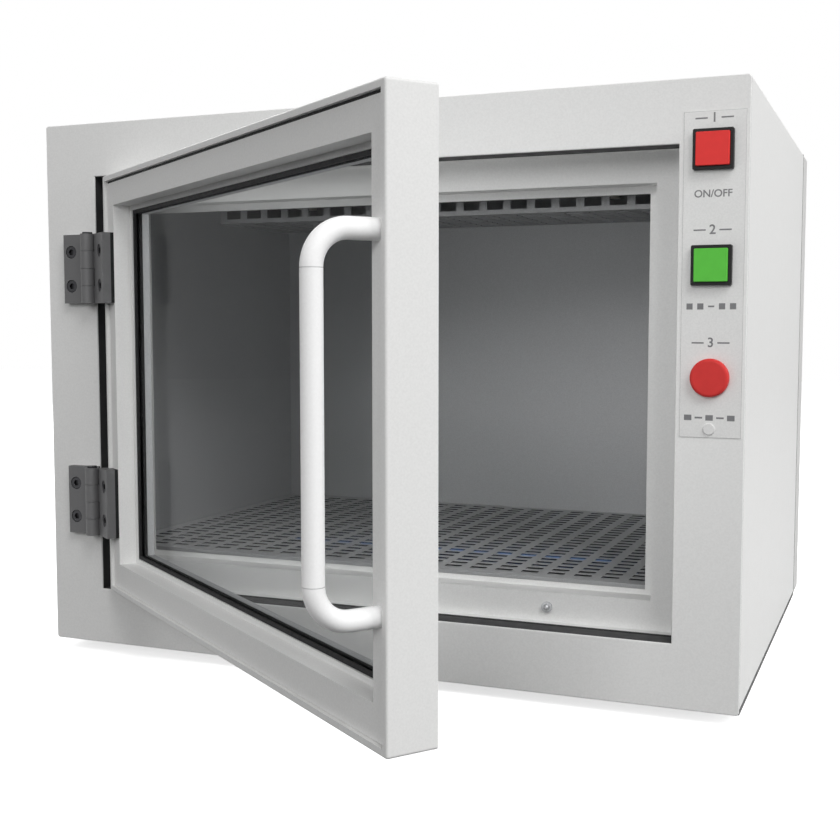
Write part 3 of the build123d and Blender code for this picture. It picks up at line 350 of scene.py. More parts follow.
def vary_gloss(tree, shader, grain, low, high):
    """Roughness that wanders between two values over a grain size."""
    noise = add_node(
        tree,
        "ShaderNodeTexNoise",
        {"Scale": 1.0, "Detail": 2.0},
        {"Vector": place_pattern(tree, grain)},
    )
    spread = add_node(
        tree,
        "ShaderNodeMapRange",
        {"From Min": 0.3, "From Max": 0.7, "To Min": low, "To Max": high},
        {"Value": noise.outputs["Fac"]},
    )
    tree.links.new(spread.outputs["Result"], shader.inputs["Roughness"])


def emboss(tree, shader, grain, height, strength=1.0, detail=2.0):
    """A raised grain of a height in millimetres."""
    noise = add_node(
        tree,
        "ShaderNodeTexNoise",
        {"Scale": 1.0, "Detail": detail},
        {"Vector": place_pattern(tree, grain)},
    )
    bump = add_node(
        tree,
        "ShaderNodeBump",
        {"Strength": strength, "Distance": height * MM},
        {"Height": noise.outputs["Fac"]},
    )
    tree.links.new(bump.outputs["Normal"], shader.inputs["Normal"])


def tint(tree, shader, mask, colour):
    """Give the surface another colour where a mask is 1."""
    plain = shader.inputs["Base Color"].links[0].from_socket
    mix = add_node(tree, "ShaderNodeMix", None, {0: mask, 6: plain}, data_type="RGBA")
    mix.inputs[7].default_value = colour
    tree.links.new(mix.outputs[2], shader.inputs["Base Color"])


def between(tree, axis, low, high):
    """1 where an object coordinate lies between two values."""
    where = add_node(tree, "ShaderNodeTexCoord")
    parts = add_node(tree, "ShaderNodeSeparateXYZ", None, {0: where.outputs["Object"]})
    return add_node(
        tree,
        "ShaderNodeMath",
        {1: (low + high) / 2, 2: (high - low) / 2},
        {0: parts.outputs[axis]},
        operation="COMPARE",
    ).outputs[0]


def dress(material, *nodes):
    """Give CAD nodes a finish."""
    for node in nodes:
        slots = frame["nodes"][node].data.materials
        slots.clear()
        slots.append(material)


def finish_mesh(bm, name, material, body, matrix=None):
    """Turn a bmesh into a finished piece that rides on a body; its place stays in its mesh."""
    bmesh.ops.remove_doubles(bm, verts=bm.verts, dist=WELD_REACH)
    if matrix is not None:
        bmesh.ops.transform(bm, matrix=matrix, verts=bm.verts)
    bmesh.ops.recalc_face_normals(bm, faces=bm.faces)
    mesh = bpy.data.meshes.new(name)
    bm.to_mesh(mesh)
    bm.free()
    mesh.materials.append(material)
    mesh.set_sharp_from_angle(angle=SHARP_ANGLE)
    piece = bpy.data.objects.new(name, mesh)
    bpy.context.scene.collection.objects.link(piece)
    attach(piece, body)
    return piece


def door_box(node):
    """Lowest and highest corners of a door node in the closed door's own frame."""
    back = DOOR_REST.inverted()
    corners = [back @ v.co for v in frame["nodes"][node].data.vertices]
    low = Vector([min(c[i] for c in corners) for i in range(3)])
    high = Vector([max(c[i] for c in corners) for i in range(3)])
    return low, high


def carry_round(bm, profile, low, high, corner):
    """Carry a closed profile round an upright rectangle.

    The profile lies in steps outwards from the rectangle's line and inwards into the cabinet.
    """
    run = [bm.verts.new((low.x - out, depth, low.z + corner)) for out, depth in profile]
    edges = [bm.edges.new((run[i], run[(i + 1) % len(run)])) for i in range(len(run))]
    turns = (
        (Vector((low.x + corner, 0, low.z + corner)), Vector((high.x - low.x - 2 * corner, 0, 0))),
        (Vector((high.x - corner, 0, low.z + corner)), Vector((0, 0, high.z - low.z - 2 * corner))),
        (Vector((high.x - corner, 0, high.z - corner)), Vector((low.x - high.x + 2 * corner, 0, 0))),
        (Vector((low.x + corner, 0, high.z - corner)), Vector((0, 0, low.z - high.z + 2 * corner))),
    )
    for centre, straight in turns:
        made = bmesh.ops.spin(
            bm,
            geom=edges,
            cent=centre,
            axis=(0, -1, 0),
            angle=math.pi / 2,
            steps=FINE_ARC,
            use_duplicate=False,
        )
        edges = [item for item in made["geom_last"] if isinstance(item, bmesh.types.BMEdge)]
        made = bmesh.ops.extrude_edge_only(bm, edges=edges)
        moved = [item for item in made["geom"] if isinstance(item, bmesh.types.BMVert)]
        edges = [item for item in made["geom"] if isinstance(item, bmesh.types.BMEdge)]
        edges = [edge for edge in edges if all(v in moved for v in edge.verts)]
        bmesh.ops.translate(bm, vec=straight, verts=moved)


def spin_profile(bm, profile, centre, axis, steps=ROUND_ARC):
    """Turn an open profile of (radius, height) steps once about an axis through a point."""
    axis = Vector(axis)
    side = axis.orthogonal().normalized()
    run = [bm.verts.new(centre + side * radius + axis * height) for radius, height in profile]
    edges = [bm.edges.new(pair) for pair in zip(run, run[1:])]
    bmesh.ops.spin(
        bm,
        geom=edges,
        cent=centre,
        axis=axis,
        angle=2 * math.pi,
        steps=steps,
        use_merge=True,
        use_duplicate=False,
    )


# Materials


def powder_coat(name, colour, roughness):
    """Epoxy powder coat baked on steel: satin, with the fine skin of an orange."""
    material, tree, shader = new_finish(name, linear(colour), roughness, Specular_IOR_Level=0.08)
    # The skin is about 1.5 mm from crest to crest, and its tone differs by a percent or two
    speckle(tree, shader, (1.4, 1.4, 1.4), shade(colour, 0.965), shade(colour, 1.02), 3.0)
    vary_gloss(tree, shader, (9.0, 9.0, 9.0), roughness - 0.05, roughness + 0.06)
    emboss(tree, shader, (1.5, 1.5, 1.5), 0.03, 0.5)
    return material


def shaded_return(name, colour, painted_shade):
    """The white coat of the front panel, with painted shade in dark grey on the return inside its
    opening.
    """
    material = powder_coat(name, colour, 0.46)
    tree = material.node_tree
    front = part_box("front_panel")[0].y
    mask = between(tree, "Y", front + SHADE_DEPTH, front + BEHIND_ALL)
    # Paint shade on the return inside the opening
    tint(tree, tree.nodes["Principled BSDF"], mask, linear(painted_shade))
    return material


def jointed_tube(name, colour):
    """The handle's white coat, with a hairline where each bend is joined to the straight tube."""
    material = powder_coat(name, colour, 0.3)
    tree = material.node_tree
    for height in HANDLE_JOINTS:
        mask = between(tree, "Z", height - JOINT_LINE / 2, height + JOINT_LINE / 2)
        tint(tree, tree.nodes["Principled BSDF"], mask, shade(colour, 0.55))
    return material


def hole_shaded_steel(name, colour, edge):
    """Satin sheet with painted shade: the upright faces of its holes are drawn dark."""
    material = satin_steel(name, colour)
    tree = material.node_tree
    where = add_node(tree, "ShaderNodeTexCoord")
    parts = add_node(tree, "ShaderNodeSeparateXYZ", None, {0: where.outputs["Normal"]})
    steep = add_node(
        tree, "ShaderNodeMath", {1: 0.0, 2: 0.5}, {0: parts.outputs["Z"]}, operation="COMPARE"
    )
    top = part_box("perforated_shelf")[1].z
    sheet = between(tree, "Z", top - SHELF_SHEET, top + SHELF_SLACK)
    mask = add_node(
        tree, "ShaderNodeMath", None, {0: steep.outputs[0], 1: sheet}, operation="MULTIPLY"
    )
    # Paint shade on the holes' upright faces within the sheet
    tint(tree, tree.nodes["Principled BSDF"], mask.outputs[0], linear(edge))
    return material


def satin_steel(name, colour):
    """Stainless sheet, bead-blasted: an even grey with a fine grain and no brush lines."""
    material, tree, shader = new_finish(name, linear(colour), 0.55, Metallic=0.35)
    speckle(tree, shader, (0.9, 0.9, 0.9), shade(colour, 0.9), shade(colour, 1.06), 4.0)
    vary_gloss(tree, shader, (3.0, 3.0, 3.0), 0.52, 0.6)
    emboss(tree, shader, (0.8, 0.8, 0.8), 0.02, 0.5)
    return material


def galvanised_steel(name, colour):
    """Zinc-coated sheet: flat crystals about 6 mm across, each with its own tone."""
    material, tree, shader = new_finish(name, linear(colour), 0.42, Metallic=1.0)
    cells = add_node(
        tree, "ShaderNodeTexVoronoi", {"Scale": 1.0}, {"Vector": place_pattern(tree, (6.0, 6.0, 6.0))}
    )
    grey = add_node(tree, "ShaderNodeRGBToBW", None, {"Color": cells.outputs["Color"]})
    ramp = add_node(tree, "ShaderNodeValToRGB", None, {"Fac": grey.outputs["Val"]})
    ramp.color_ramp.elements[0].color = shade(colour, 0.82)
    ramp.color_ramp.elements[1].color = shade(colour, 1.08)
    tree.links.new(ramp.outputs["Color"], shader.inputs["Base Color"])
    emboss(tree, shader, (2.0, 2.0, 2.0), 0.02, 0.4)
    return material


def bright_metal(name, colour, roughness):
    """Turned and plated metal: bright, with fine marks from the tool."""
    material, tree, shader = new_finish(name, linear(colour), roughness, Metallic=1.0)
    speckle(tree, shader, (2.0, 2.0, 0.5), shade(colour, 0.9), shade(colour, 1.05))
    vary_gloss(tree, shader, (0.6, 0.6, 0.6), roughness - 0.06, roughness + 0.1)
    emboss(tree, shader, (3.0, 3.0, 0.15), 0.01, 0.4)
    return material


def moulded_plastic(name, colour, roughness, grain, height, **values):
    """Injection-moulded plastic with the spark-eroded grain of its mould."""
    material, tree, shader = new_finish(name, linear(colour), roughness, **values)
    speckle(tree, shader, (1.2, 1.2, 1.2), shade(colour, 0.96), shade(colour, 1.03))
    vary_gloss(tree, shader, (1.5, 1.5, 1.5), roughness - 0.03, roughness + 0.04)
    emboss(tree, shader, (grain, grain, grain), height, 0.5)
    return material


def black_rubber(name, colour):
    """Extruded rubber: dull black with a dry bloom and faint lines along the strip."""
    material, tree, shader = new_finish(
        name, linear(colour), 0.72, Specular_IOR_Level=0.2, Sheen_Weight=0.02, Sheen_Roughness=0.4
    )
    speckle(tree, shader, (2.5, 2.5, 2.5), shade(colour, 0.8), shade(colour, 1.45), 4.0)
    vary_gloss(tree, shader, (4.0, 4.0, 4.0), 0.64, 0.8)
    emboss(tree, shader, (0.5, 0.5, 0.5), 0.04, 0.5)
    return material


def coloured_lens(name, colour):
    """Dyed plastic lens, unlit: deep colour under a fine satin grain that mirrors little."""
    material, tree, shader = new_finish(name, linear(colour), 0.42, Specular_IOR_Level=0.1)
    speckle(tree, shader, (8.0, 8.0, 8.0), shade(colour, 0.97), shade(colour, 1.02))
    vary_gloss(tree, shader, (0.8, 0.8, 0.8), 0.38, 0.46)
    emboss(tree, shader, (0.4, 0.4, 0.4), 0.004, 0.3)
    return material


def window_glass(name, colour):
    """Glass that stops ultraviolet light: clear, faintly grey and coated against reflections.

    The coating leaves about 2 percent of mirroring even at a flat angle, so the index is set low.
    """
    material, tree, shader = new_finish(name, linear(colour), 0.02, IOR=1.05, Transmission_Weight=1.0)
    speckle(tree, shader, (40.0, 40.0, 40.0), shade(colour, 0.985), shade(colour, 1.0))
    vary_gloss(tree, shader, (25.0, 25.0, 25.0), 0.0, 0.03)
    return material


def lamp_glass(name, colour, glow):
    """Drawn quartz, or the vapour inside it: glossy and clear, and blue where it glows; that glow
    paints glints.
    """
    material, tree, shader = new_finish(
        name,
        linear(colour),
        0.06,
        IOR=1.46,
        Transmission_Weight=0.6,
        Emission_Color=linear(colour),
        Emission_Strength=glow,
    )
    speckle(tree, shader, (18.0, 6.0, 6.0), shade(colour, 0.85), shade(colour, 1.0))
    vary_gloss(tree, shader, (5.0, 5.0, 5.0), 0.04, 0.12)
    return material


def board_laminate(name):
    """Glass-epoxy board under green lacquer, with copper tracks about 2 mm wide beneath it."""
    material, tree, shader = new_finish(
        name, linear(BOARD_LACQUER), 0.35, Coat_Weight=0.4, Coat_Roughness=0.2
    )
    tracks = add_node(
        tree,
        "ShaderNodeTexBrick",
        {"Scale": 1.0, "Mortar Size": 0.08, "Brick Width": 3.0, "Row Height": 0.5},
        {"Vector": place_pattern(tree, (4.0, 4.0, 4.0))},
    )
    tracks.inputs["Color1"].default_value = shade(BOARD_LACQUER, 0.85)
    tracks.inputs["Color2"].default_value = shade(BOARD_LACQUER, 1.1)
    tracks.inputs["Mortar"].default_value = shade(BOARD_LACQUER, 1.7)
    tree.links.new(tracks.outputs["Color"], shader.inputs["Base Color"])
    emboss(tree, shader, (1.0, 1.0, 1.0), 0.02, 0.3)
    return material


# Operators


class BOX_OT_coat_cabinet(bpy.types.Operator):
    """Give the cabinet, its recess and its inner carriers their coats"""

    bl_idname = "box.coat_cabinet"
    bl_label = "Coat cabinet"

    def execute(self, context):
        colours = context.scene.box_finish
        coat = powder_coat("white_powder_coat", colours.coat, 0.46)
        dress(coat, "outer_case", "door_recess_frame")
        # The front panel's coat carries painted shade inside its opening
        dress(shaded_return("front_powder_coat", colours.coat, colours.painted_shade), "front_panel")
        dress(powder_coat("rear_powder_coat", colours.rear, 0.5), "rear_cover")
        # The base plate's black paints the shade under the case's sides
        dress(powder_coat("black_powder_coat", colours.base_shade, 0.5), "base_plate")
        zinc = galvanised_steel("galvanised_sheet", ZINC_SHEET)
        dress(zinc, "liner_rails", "lamp_ballasts", "hinge_backing_plates")
        plated = bright_metal("zinc_plated_screws", ZINC_PLATING, 0.32)
        dress(plated, "rear_cover_screws", "foot_screws", "board_standoffs", "handle_screws")
        return {"FINISHED"}


class BOX_OT_line_chamber(bpy.types.Operator):
    """Give the chamber, shelf and lamp guard their satin steel"""

    bl_idname = "box.line_chamber"
    bl_label = "Line chamber"

    def execute(self, context):
        colours = context.scene.box_finish
        satin = satin_steel("satin_stainless_steel", colours.liner)
        dress(satin, "chamber_liner", "shelf_supports")
        # The shelf's steel is drawn lighter than the liner as painted light, with painted shade in
        # its holes
        hole_shade = hole_shaded_steel("shelf_stainless_steel", colours.shelf, colours.hole_shade)
        dress(hole_shade, "perforated_shelf")
        # The guard's steel is drawn darker than the liner as painted shade
        dress(satin_steel("guard_stainless_steel", colours.guard), "lamp_guard")
        return {"FINISHED"}


class BOX_OT_fit_rubber(bpy.types.Operator):
    """Fit the recess lining, window gasket, door seal and feet"""

    bl_idname = "box.fit_rubber"
    bl_label = "Fit rubber"

    def execute(self, context):
        rubber = black_rubber("extruded_rubber", context.scene.box_finish.rubber)
        sizes = context.scene.box_strips
        self.line_recess_shade(rubber, sizes)
        self.glaze_window(rubber, sizes)
        self.seal_door(rubber, sizes)
        self.fill_face_joint(rubber)
        self.shade_rear_joint(rubber)
        self.fit_feet(rubber)
        return {"FINISHED"}

    def line_recess_shade(self, rubber, sizes):
        """A flat strip round the opening with a round bead along its front edge; its black paints the
        shade in the gap behind the panel's opening.
        """
        low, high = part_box("recess_lining")
        wall = sizes.lining_wall
        bead = min(sizes.lining_bead, wall / 2)
        depth = high.y - low.y
        profile = rounded_bar(wall, depth, bead)
        bm = bmesh.new()
        inner_low = Vector((low.x + wall, 0, low.z + wall))
        inner_high = Vector((high.x - wall, 0, high.z - wall))
        carry_round(bm, profile, inner_low, inner_high, LINING_CORNER)
        place = Matrix.Translation((0, low.y, 0))
        piece = finish_mesh(bm, "recess_lining_strip", rubber, "cabinet", place)
        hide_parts("recess_lining")

    def glaze_window(self, rubber, sizes):
        """A strip with a groove for the pane and a soft lip on each side of it."""
        low, high = door_box("window_gasket")
        pane_low, pane_high = door_box("window_pane")
        show = pane_low.x - low.x + PANE_GRIP
        depth = high.y - low.y
        front = pane_low.y - low.y
        back = pane_high.y - low.y
        lip = sizes.gasket_lip
        floor = PANE_GRIP + PANE_SLACK
        round_off = 0.5 * MM
        profile = [
            (show, 0.0),
            (round_off * 2, 0.0),
            (round_off * 0.6, round_off * 0.25),
            (0.0, round_off),
            (0.0, front - lip),
            (lip, front),
            (floor, front),
            (floor, back),
            (lip, back),
            (0.0, back + lip),
            (0.0, depth - round_off),
            (round_off * 0.6, depth - round_off * 0.25),
            (round_off * 2, depth),
            (show, depth),
        ]
        inner_low = Vector((low.x + show, 0, low.z + show))
        inner_high = Vector((high.x - show, 0, high.z - show))
        bm = bmesh.new()
        carry_round(bm, profile, inner_low, inner_high, GASKET_CORNER)
        place = DOOR_REST @ Matrix.Translation((0, low.y, 0))
        piece = finish_mesh(bm, "window_gasket_strip", rubber, "door", place)
        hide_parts("window_gasket")

    def seal_door(self, rubber, sizes):
        """A hollow seal: a flat foot on the door and a round bulb that the ledge presses."""
        low, high = door_box("door_seal")
        height = high.y - low.y
        bm = bmesh.new()
        inner_low = Vector((low.x + SEAL_WIDTH, 0, low.z + SEAL_WIDTH))
        inner_high = Vector((high.x - SEAL_WIDTH, 0, high.z - SEAL_WIDTH))
        for wall in (0.0, sizes.seal_wall):
            section = bulb(SEAL_WIDTH, height, wall)
            carry_round(bm, section, inner_low, inner_high, SEAL_CORNER)
        place = DOOR_REST @ Matrix.Translation((0, low.y, 0))
        piece = finish_mesh(bm, "door_seal_strip", rubber, "door", place)
        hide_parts("door_seal")

    def fill_face_joint(self, rubber):
        """A bead of sealant in the joint between the door's rim and its face panel."""
        low, high = door_box("door_face_panel")
        frame_low, frame_high = door_box("door_frame")
        top = frame_high.z - DOOR_RIM - high.z
        side = frame_high.x - DOOR_RIM - high.x
        bottom = low.z - frame_low.z - DOOR_RIM
        bars = (
            ((low.x, high.z), (high.x, high.z + top)),
            ((low.x, low.z - bottom), (high.x, low.z)),
            ((high.x, low.z), (high.x + side, high.z)),
            ((low.x - side, low.z), (low.x, high.z)),
        )
        bm = bmesh.new()
        add_bars(bm, bars, low.y + SEALANT_FRONT, low.y + SEALANT_BACK, SEALANT_SLACK)
        piece = finish_mesh(bm, "face_joint_seal", rubber, "door", DOOR_REST)

    def shade_rear_joint(self, rubber):
        """A black strip on the flange in the joint between the case and the rear cover, as painted
        shade in the joint.
        """
        case_low, case_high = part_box("outer_case")
        cover_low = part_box("rear_cover")[0]
        front = cover_low.y - JOINT_WIDTH + JOINT_SLACK
        back = cover_low.y - JOINT_SLACK
        base = case_low.z
        top = case_high.z - JOINT_SLACK
        bars = (
            ((case_low.x + JOINT_SLACK, base), (case_low.x + SHADE_STRIP_DEPTH, top)),
            ((case_high.x - SHADE_STRIP_DEPTH, base), (case_high.x - JOINT_SLACK, top)),
            ((case_low.x + SHADE_STRIP_DEPTH, case_high.z - SHADE_STRIP_DEPTH), (case_high.x - SHADE_STRIP_DEPTH, top)),
        )
        bm = bmesh.new()
        add_bars(bm, bars, front, back, 0.0)
        # The black strip paints the shade in the rear joint
        piece = finish_mesh(bm, "rear_joint_tape", rubber, "cabinet")

    def fit_feet(self, rubber):
        """Four moulded feet with a rounded tread and a recess for the screw."""
        low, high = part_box("rubber_feet")
        height = high.z - low.z
        profile = [(r * MM, h * height) for r, h in FOOT_STEPS]
        bm = bmesh.new()
        for x in (low.x + FOOT_RADIUS, high.x - FOOT_RADIUS):
            for y in (low.y + FOOT_RADIUS, high.y - FOOT_RADIUS):
                spin_profile(bm, profile, Vector((x, y, low.z)), (0, 0, 1))
        piece = finish_mesh(bm, "moulded_feet", rubber, "cabinet")
        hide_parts("rubber_feet")


# Radius in millimetres and height as a share of the foot, from the bore up round the outside
FOOT_STEPS = (
    (2.3, 0.5),
    (5.0, 0.5),
    (5.0, 0.05),
    (5.4, 0.0),
    (10.9, 0.0),
    (11.4, 0.04),
    (11.6, 0.1),
    (12.2, 0.75),
    (12.5, 0.85),
    (12.5, 0.97),
    (12.2, 1.0),
    (2.3, 1.0),
    (2.3, 0.5),
)


def add_bars(bm, bars, front, back, slack):
    """Upright bars between a front and a back, each a little smaller than its place."""
    for (left, under), (right, over) in bars:
        centre = Vector(((left + right) / 2, (front + back) / 2, (under + over) / 2))
        size = Matrix.Diagonal((right - left - slack, back - front, over - under - slack, 1))
        bmesh.ops.create_cube(bm, size=1.0, matrix=Matrix.Translation(centre) @ size)


def rounded_bar(width, depth, bead):
    """An upright bar's section, rounded at the front."""
    steps = [(bead - bead * math.cos(a), bead - bead * math.sin(a)) for a in quarter_turn()]
    outer = [(width - x, y) for x, y in reversed(steps)]
    return steps + outer + [(width, depth), (0.0, depth)]


def quarter_turn():
    """Angles from 0 to a right angle."""
    return [math.pi / 2 * i / FINE_ARC for i in range(FINE_ARC + 1)]


def bulb(width, height, wall):
    """Section of a hollow seal, or of its hollow when a wall is given."""
    middle = width / 2
    radius = middle - wall
    base = height - radius if not wall else height - middle
    top = height - wall
    spring = max(base, 0)
    arc = [
        (middle + radius * math.cos(a), spring + (top - spring) * math.sin(a)) for a in half_turn()
    ]
    return [(middle + radius, wall)] + arc + [(middle - radius, wall)]


def half_turn():
    """Angles from 0 to a straight angle."""
    return [math.pi * i / (2 * FINE_ARC) for i in range(2 * FINE_ARC + 1)]


class BOX_OT_finish_door(bpy.types.Operator):
    """Coat the door and handle, and fit the pane's glass"""

    bl_idname = "box.finish_door"
    bl_label = "Finish door"

    def execute(self, context):
        colours = context.scene.box_finish
        coat = powder_coat("door_powder_coat", colours.coat, 0.44)
        dress(coat, "door_frame", "door_face_panel")
        # Painted shade: the door's back panel takes the liner's satin steel instead of the white
        # coat, so its edge seen through the window is darker
        dress(satin_steel("door_back_steel", colours.liner), "door_back_panel")
        dress(jointed_tube("handle_gloss_coat", colours.handle), "door_handle")
        dress(window_glass("ultraviolet_stopping_glass", colours.window), "window_pane")
        return {"FINISHED"}


class BOX_OT_finish_hinges(bpy.types.Operator):
    """Give hinges, pins and their screws their finishes"""

    bl_idname = "box.finish_hinges"
    bl_label = "Finish hinges"

    def execute(self, context):
        cast = moulded_plastic("hinge_grey_nylon", context.scene.box_finish.hinge, 0.52, 0.5, 0.05)
        for end in ("upper", "lower"):
            dress(cast, end + "_hinge_case_leaf", end + "_hinge_door_leaf")
        blackened = bright_metal("blackened_screws", BLACKENED_SCREW, 0.4)
        dress(blackened, "case_hinge_screws", "door_hinge_screws")
        dress(bright_metal("blackened_pins", BLACKENED_PIN, 0.45), "hinge_pins")
        ground = bright_metal("ground_steel", GROUND_STEEL, 0.32)
        dress(ground, "interlock_bushing", "interlock_plunger")
        return {"FINISHED"}


class BOX_OT_fit_lamps(bpy.types.Operator):
    """Fit the two lamps with glass, cathodes, caps and holders"""

    bl_idname = "box.fit_lamps"
    bl_label = "Fit lamps"

    def execute(self, context):
        sizes = context.scene.box_lamps
        colours = context.scene.box_finish
        clear = lamp_glass("clear_lamp_glass", colours.lamp, 0.0)
        lit = lamp_glass("lit_lamp_glass", colours.lamp, 0.0)
        # The lower lamp's glow paints glints; the upper lamp of the same kind stays unlit
        vapour = lamp_glass("glowing_mercury_vapour", colours.vapour_glint_colour, sizes.vapour_glint_glow)
        tungsten = bright_metal("cathode_wire", TUNGSTEN, 0.35)
        self.fit_tube("upper", clear, tungsten, sizes)
        start, span = self.fit_tube("lower", lit, tungsten, sizes)
        self.add_glint_core(start, span, sizes, vapour)
        dress(bright_metal("aluminium_lamp_caps", ALUMINIUM, 0.38), "lamp_end_caps")
        dress(moulded_plastic("ivory_lamp_holders", IVORY_PLASTIC, 0.42, 0.4, 0.03), "lamp_holders")
        return {"FINISHED"}

    def fit_tube(self, end, glass, tungsten, sizes):
        """A glass tube with a cathode in each end; returns where it starts and its length."""
        low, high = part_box(end + "_lamp_tube")
        centre = (low + high) / 2
        start = Vector((low.x, centre.y, centre.z))
        span = high.x - low.x
        outside = (high.z - low.z) / 2
        inside = outside - sizes.glass_wall
        profile = [(outside, 0), (outside, span), (inside, span), (inside, 0), (outside, 0)]
        bm = bmesh.new()
        spin_profile(bm, profile, start, (1, 0, 0))
        tube = finish_mesh(bm, end + "_lamp_glass", glass, "cabinet")
        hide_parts(end + "_lamp_tube")
        bm = bmesh.new()
        for x, way in ((low.x, 1), (high.x, -1)):
            self.add_cathode(bm, Vector((x, centre.y, centre.z)), way, sizes)
        wires = finish_mesh(bm, end + "_lamp_cathodes", tungsten, "cabinet")
        return start, span

    def add_glint_core(self, start, span, sizes, vapour):
        """A thin glowing core between the two cathodes: the lit lamp's mercury vapour, kept thin so
        that its glow paints a row of glints.
        """
        reach = sizes.stem_length * 1.2
        radius = sizes.vapour_glint_radius
        profile = [
            (0.0, reach),
            (radius * 0.7, reach + radius),
            (radius, reach + 3 * radius),
            (radius, span - reach - 3 * radius),
            (radius * 0.7, span - reach - radius),
            (0.0, span - reach),
        ]
        bm = bmesh.new()
        spin_profile(bm, profile, start, (1, 0, 0), VAPOUR_ARC)
        finish_mesh(bm, "lower_lamp_vapour", vapour, "cabinet")

    def add_cathode(self, bm, end, way, sizes):
        """A pressed stem, two support wires and a coil between their tips."""
        reach = sizes.stem_length
        half = sizes.coil_length / 2
        stem = [(radius, reach * share) for share, radius in STEM_STEPS]
        spin_profile(bm, stem, end, (way, 0, 0), STEM_ARC)
        for side in (-1, 1):
            tip = end + Vector((way * reach, side * half, 0))
            foot = end + Vector((way * reach * 0.6, side * half * 0.3, 0))
            add_wire(bm, [foot, foot + Vector((way * reach * 0.15, 0, 0)), tip], sizes.coil_wire)
        steps = COIL_TURNS * COIL_TURN_STEPS
        coil = []
        for i in range(steps + 1):
            angle = 2 * math.pi * COIL_TURNS * i / steps
            across = -half + 2 * half * i / steps
            ahead = math.cos(angle) * sizes.coil_radius
            above = math.sin(angle) * sizes.coil_radius
            coil.append(end + Vector((way * reach + ahead, across, above)))
        add_wire(bm, coil, sizes.coil_wire)


def add_wire(bm, points, thickness):
    """Join a round wire along some points to a bmesh."""
    curve = bpy.data.curves.new("wire", "CURVE")
    curve.dimensions = "3D"
    curve.bevel_depth = thickness / 2
    curve.bevel_resolution = 1
    curve.use_fill_caps = True
    line = curve.splines.new("POLY")
    line.points.add(len(points) - 1)
    for point, place in zip(line.points, points):
        point.co = (*place, 1.0)
    holder = bpy.data.objects.new("wire", curve)
    mesh = bpy.data.meshes.new_from_object(holder)
    bm.from_mesh(mesh)
    bpy.data.meshes.remove(mesh)
    bpy.data.objects.remove(holder)
    bpy.data.curves.remove(curve)


class BOX_OT_fit_controls(bpy.types.Operator):
    """Finish the buttons, status lamp and label film, and print the marks"""

    bl_idname = "box.fit_controls"
    bl_label = "Fit controls"

    def execute(self, context):
        colours = context.scene.box_finish
        dress(
            moulded_plastic(
                "black_moulded_plastic", colours.bezel, 0.5, 0.5, 0.03, Specular_IOR_Level=0.2
            ),
            "power_button_bezel",
            "cycle_button_bezel",
            "status_lamp_base",
            "panel_nuts",
            "switch_bodies",
            "interlock_switch",
            "mains_inlet",
            "fuse_drawer",
            "board_relays",
            "hinge_packing_plates",
        )
        dress(coloured_lens("red_button_cap", colours.stop), "power_button_cap")
        dress(coloured_lens("green_button_cap", colours.start), "cycle_button_cap")
        dress(coloured_lens("red_status_lens", colours.status), "status_lamp_lens")
        dress(moulded_plastic("white_blank_plug", colours.film, 0.4, 0.5, 0.02), "blank_plug")
        dress(moulded_plastic("matt_label_film", colours.film, 0.4, 0.3, 0.01), "label_plate")
        dress(bright_metal("nickel_plated_contacts", NICKEL_PLATING, 0.28), "inlet_pins")
        dress(board_laminate("green_board_laminate"), "control_board")
        self.print_marks(moulded_plastic("printed_grey_ink", colours.ink, 0.5, 0.4, 0.01))
        return {"FINISHED"}

    def print_marks(self, ink):
        """Plain numbers with a rule on each side, and plain switch signs."""
        bm = bmesh.new()
        bezel_low, bezel_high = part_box("power_button_bezel")
        middle = (bezel_low.x + bezel_high.x) / 2
        for number, z in NUMBER_ROWS:
            add_text(bm, number, NUMBER_SIZE, middle, z)
            for side in (-1, 1):
                add_bar(bm, middle + side * RULE_SHIFT, z, RULE_WIDTH, RULE_HEIGHT)
        add_text(bm, "ON/OFF", SWITCH_SIZE, middle, SWITCH_ROW)
        for share in (-2, -1, 0, 1, 2):
            x = middle + share * SIGN_PITCH
            tall = UPPER_SIGN_SIDE if share else UPPER_DASH_HEIGHT
            add_bar(bm, x, UPPER_SIGN_ROW, UPPER_SIGN_SIDE, tall)
            tall = LOWER_DASH_HEIGHT if share % 2 else LOWER_SIGN_HEIGHT
            add_bar(bm, x, LOWER_SIGN_ROW, LOWER_SIGN_WIDTH, tall)
        low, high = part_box("label_plate")
        across, up = (low.x + high.x) / 2, (low.z + high.z) / 2
        width, height = high.x - low.x, high.z - low.z
        for side in (-1, 1):
            add_bar(bm, across + side * (width / 2 - EDGE_LINE), up, EDGE_LINE, height)
            add_bar(bm, across, up + side * (height / 2 - EDGE_LINE), width, EDGE_LINE)
        place = Matrix.Translation((0, low.y - INK_RISE, 0))
        piece = finish_mesh(bm, "panel_marks", ink, "cabinet", place)


def lay_flat(bm, before, x, z):
    """Give the new flat faces a thin body and move them to a place on the panel."""
    faces = [face for face in bm.faces if face not in before]
    made = bmesh.ops.extrude_face_region(bm, geom=faces)
    raised = [item for item in made["geom"] if isinstance(item, bmesh.types.BMVert)]
    bmesh.ops.translate(bm, vec=(0, INK_BODY, 0), verts=raised)
    fresh = {v for face in bm.faces if face not in before for v in face.verts}
    bmesh.ops.translate(bm, vec=(x, 0, z), verts=list(fresh))


def add_bar(bm, x, z, width, height):
    """A solid bar on the panel."""
    before = set(bm.faces)
    upright = Matrix.Rotation(math.pi / 2, 4, "X") @ Matrix.Diagonal((width / 2, height / 2, 1, 1))
    bmesh.ops.create_grid(bm, x_segments=1, y_segments=1, size=1.0, matrix=upright)
    lay_flat(bm, before, x, z)


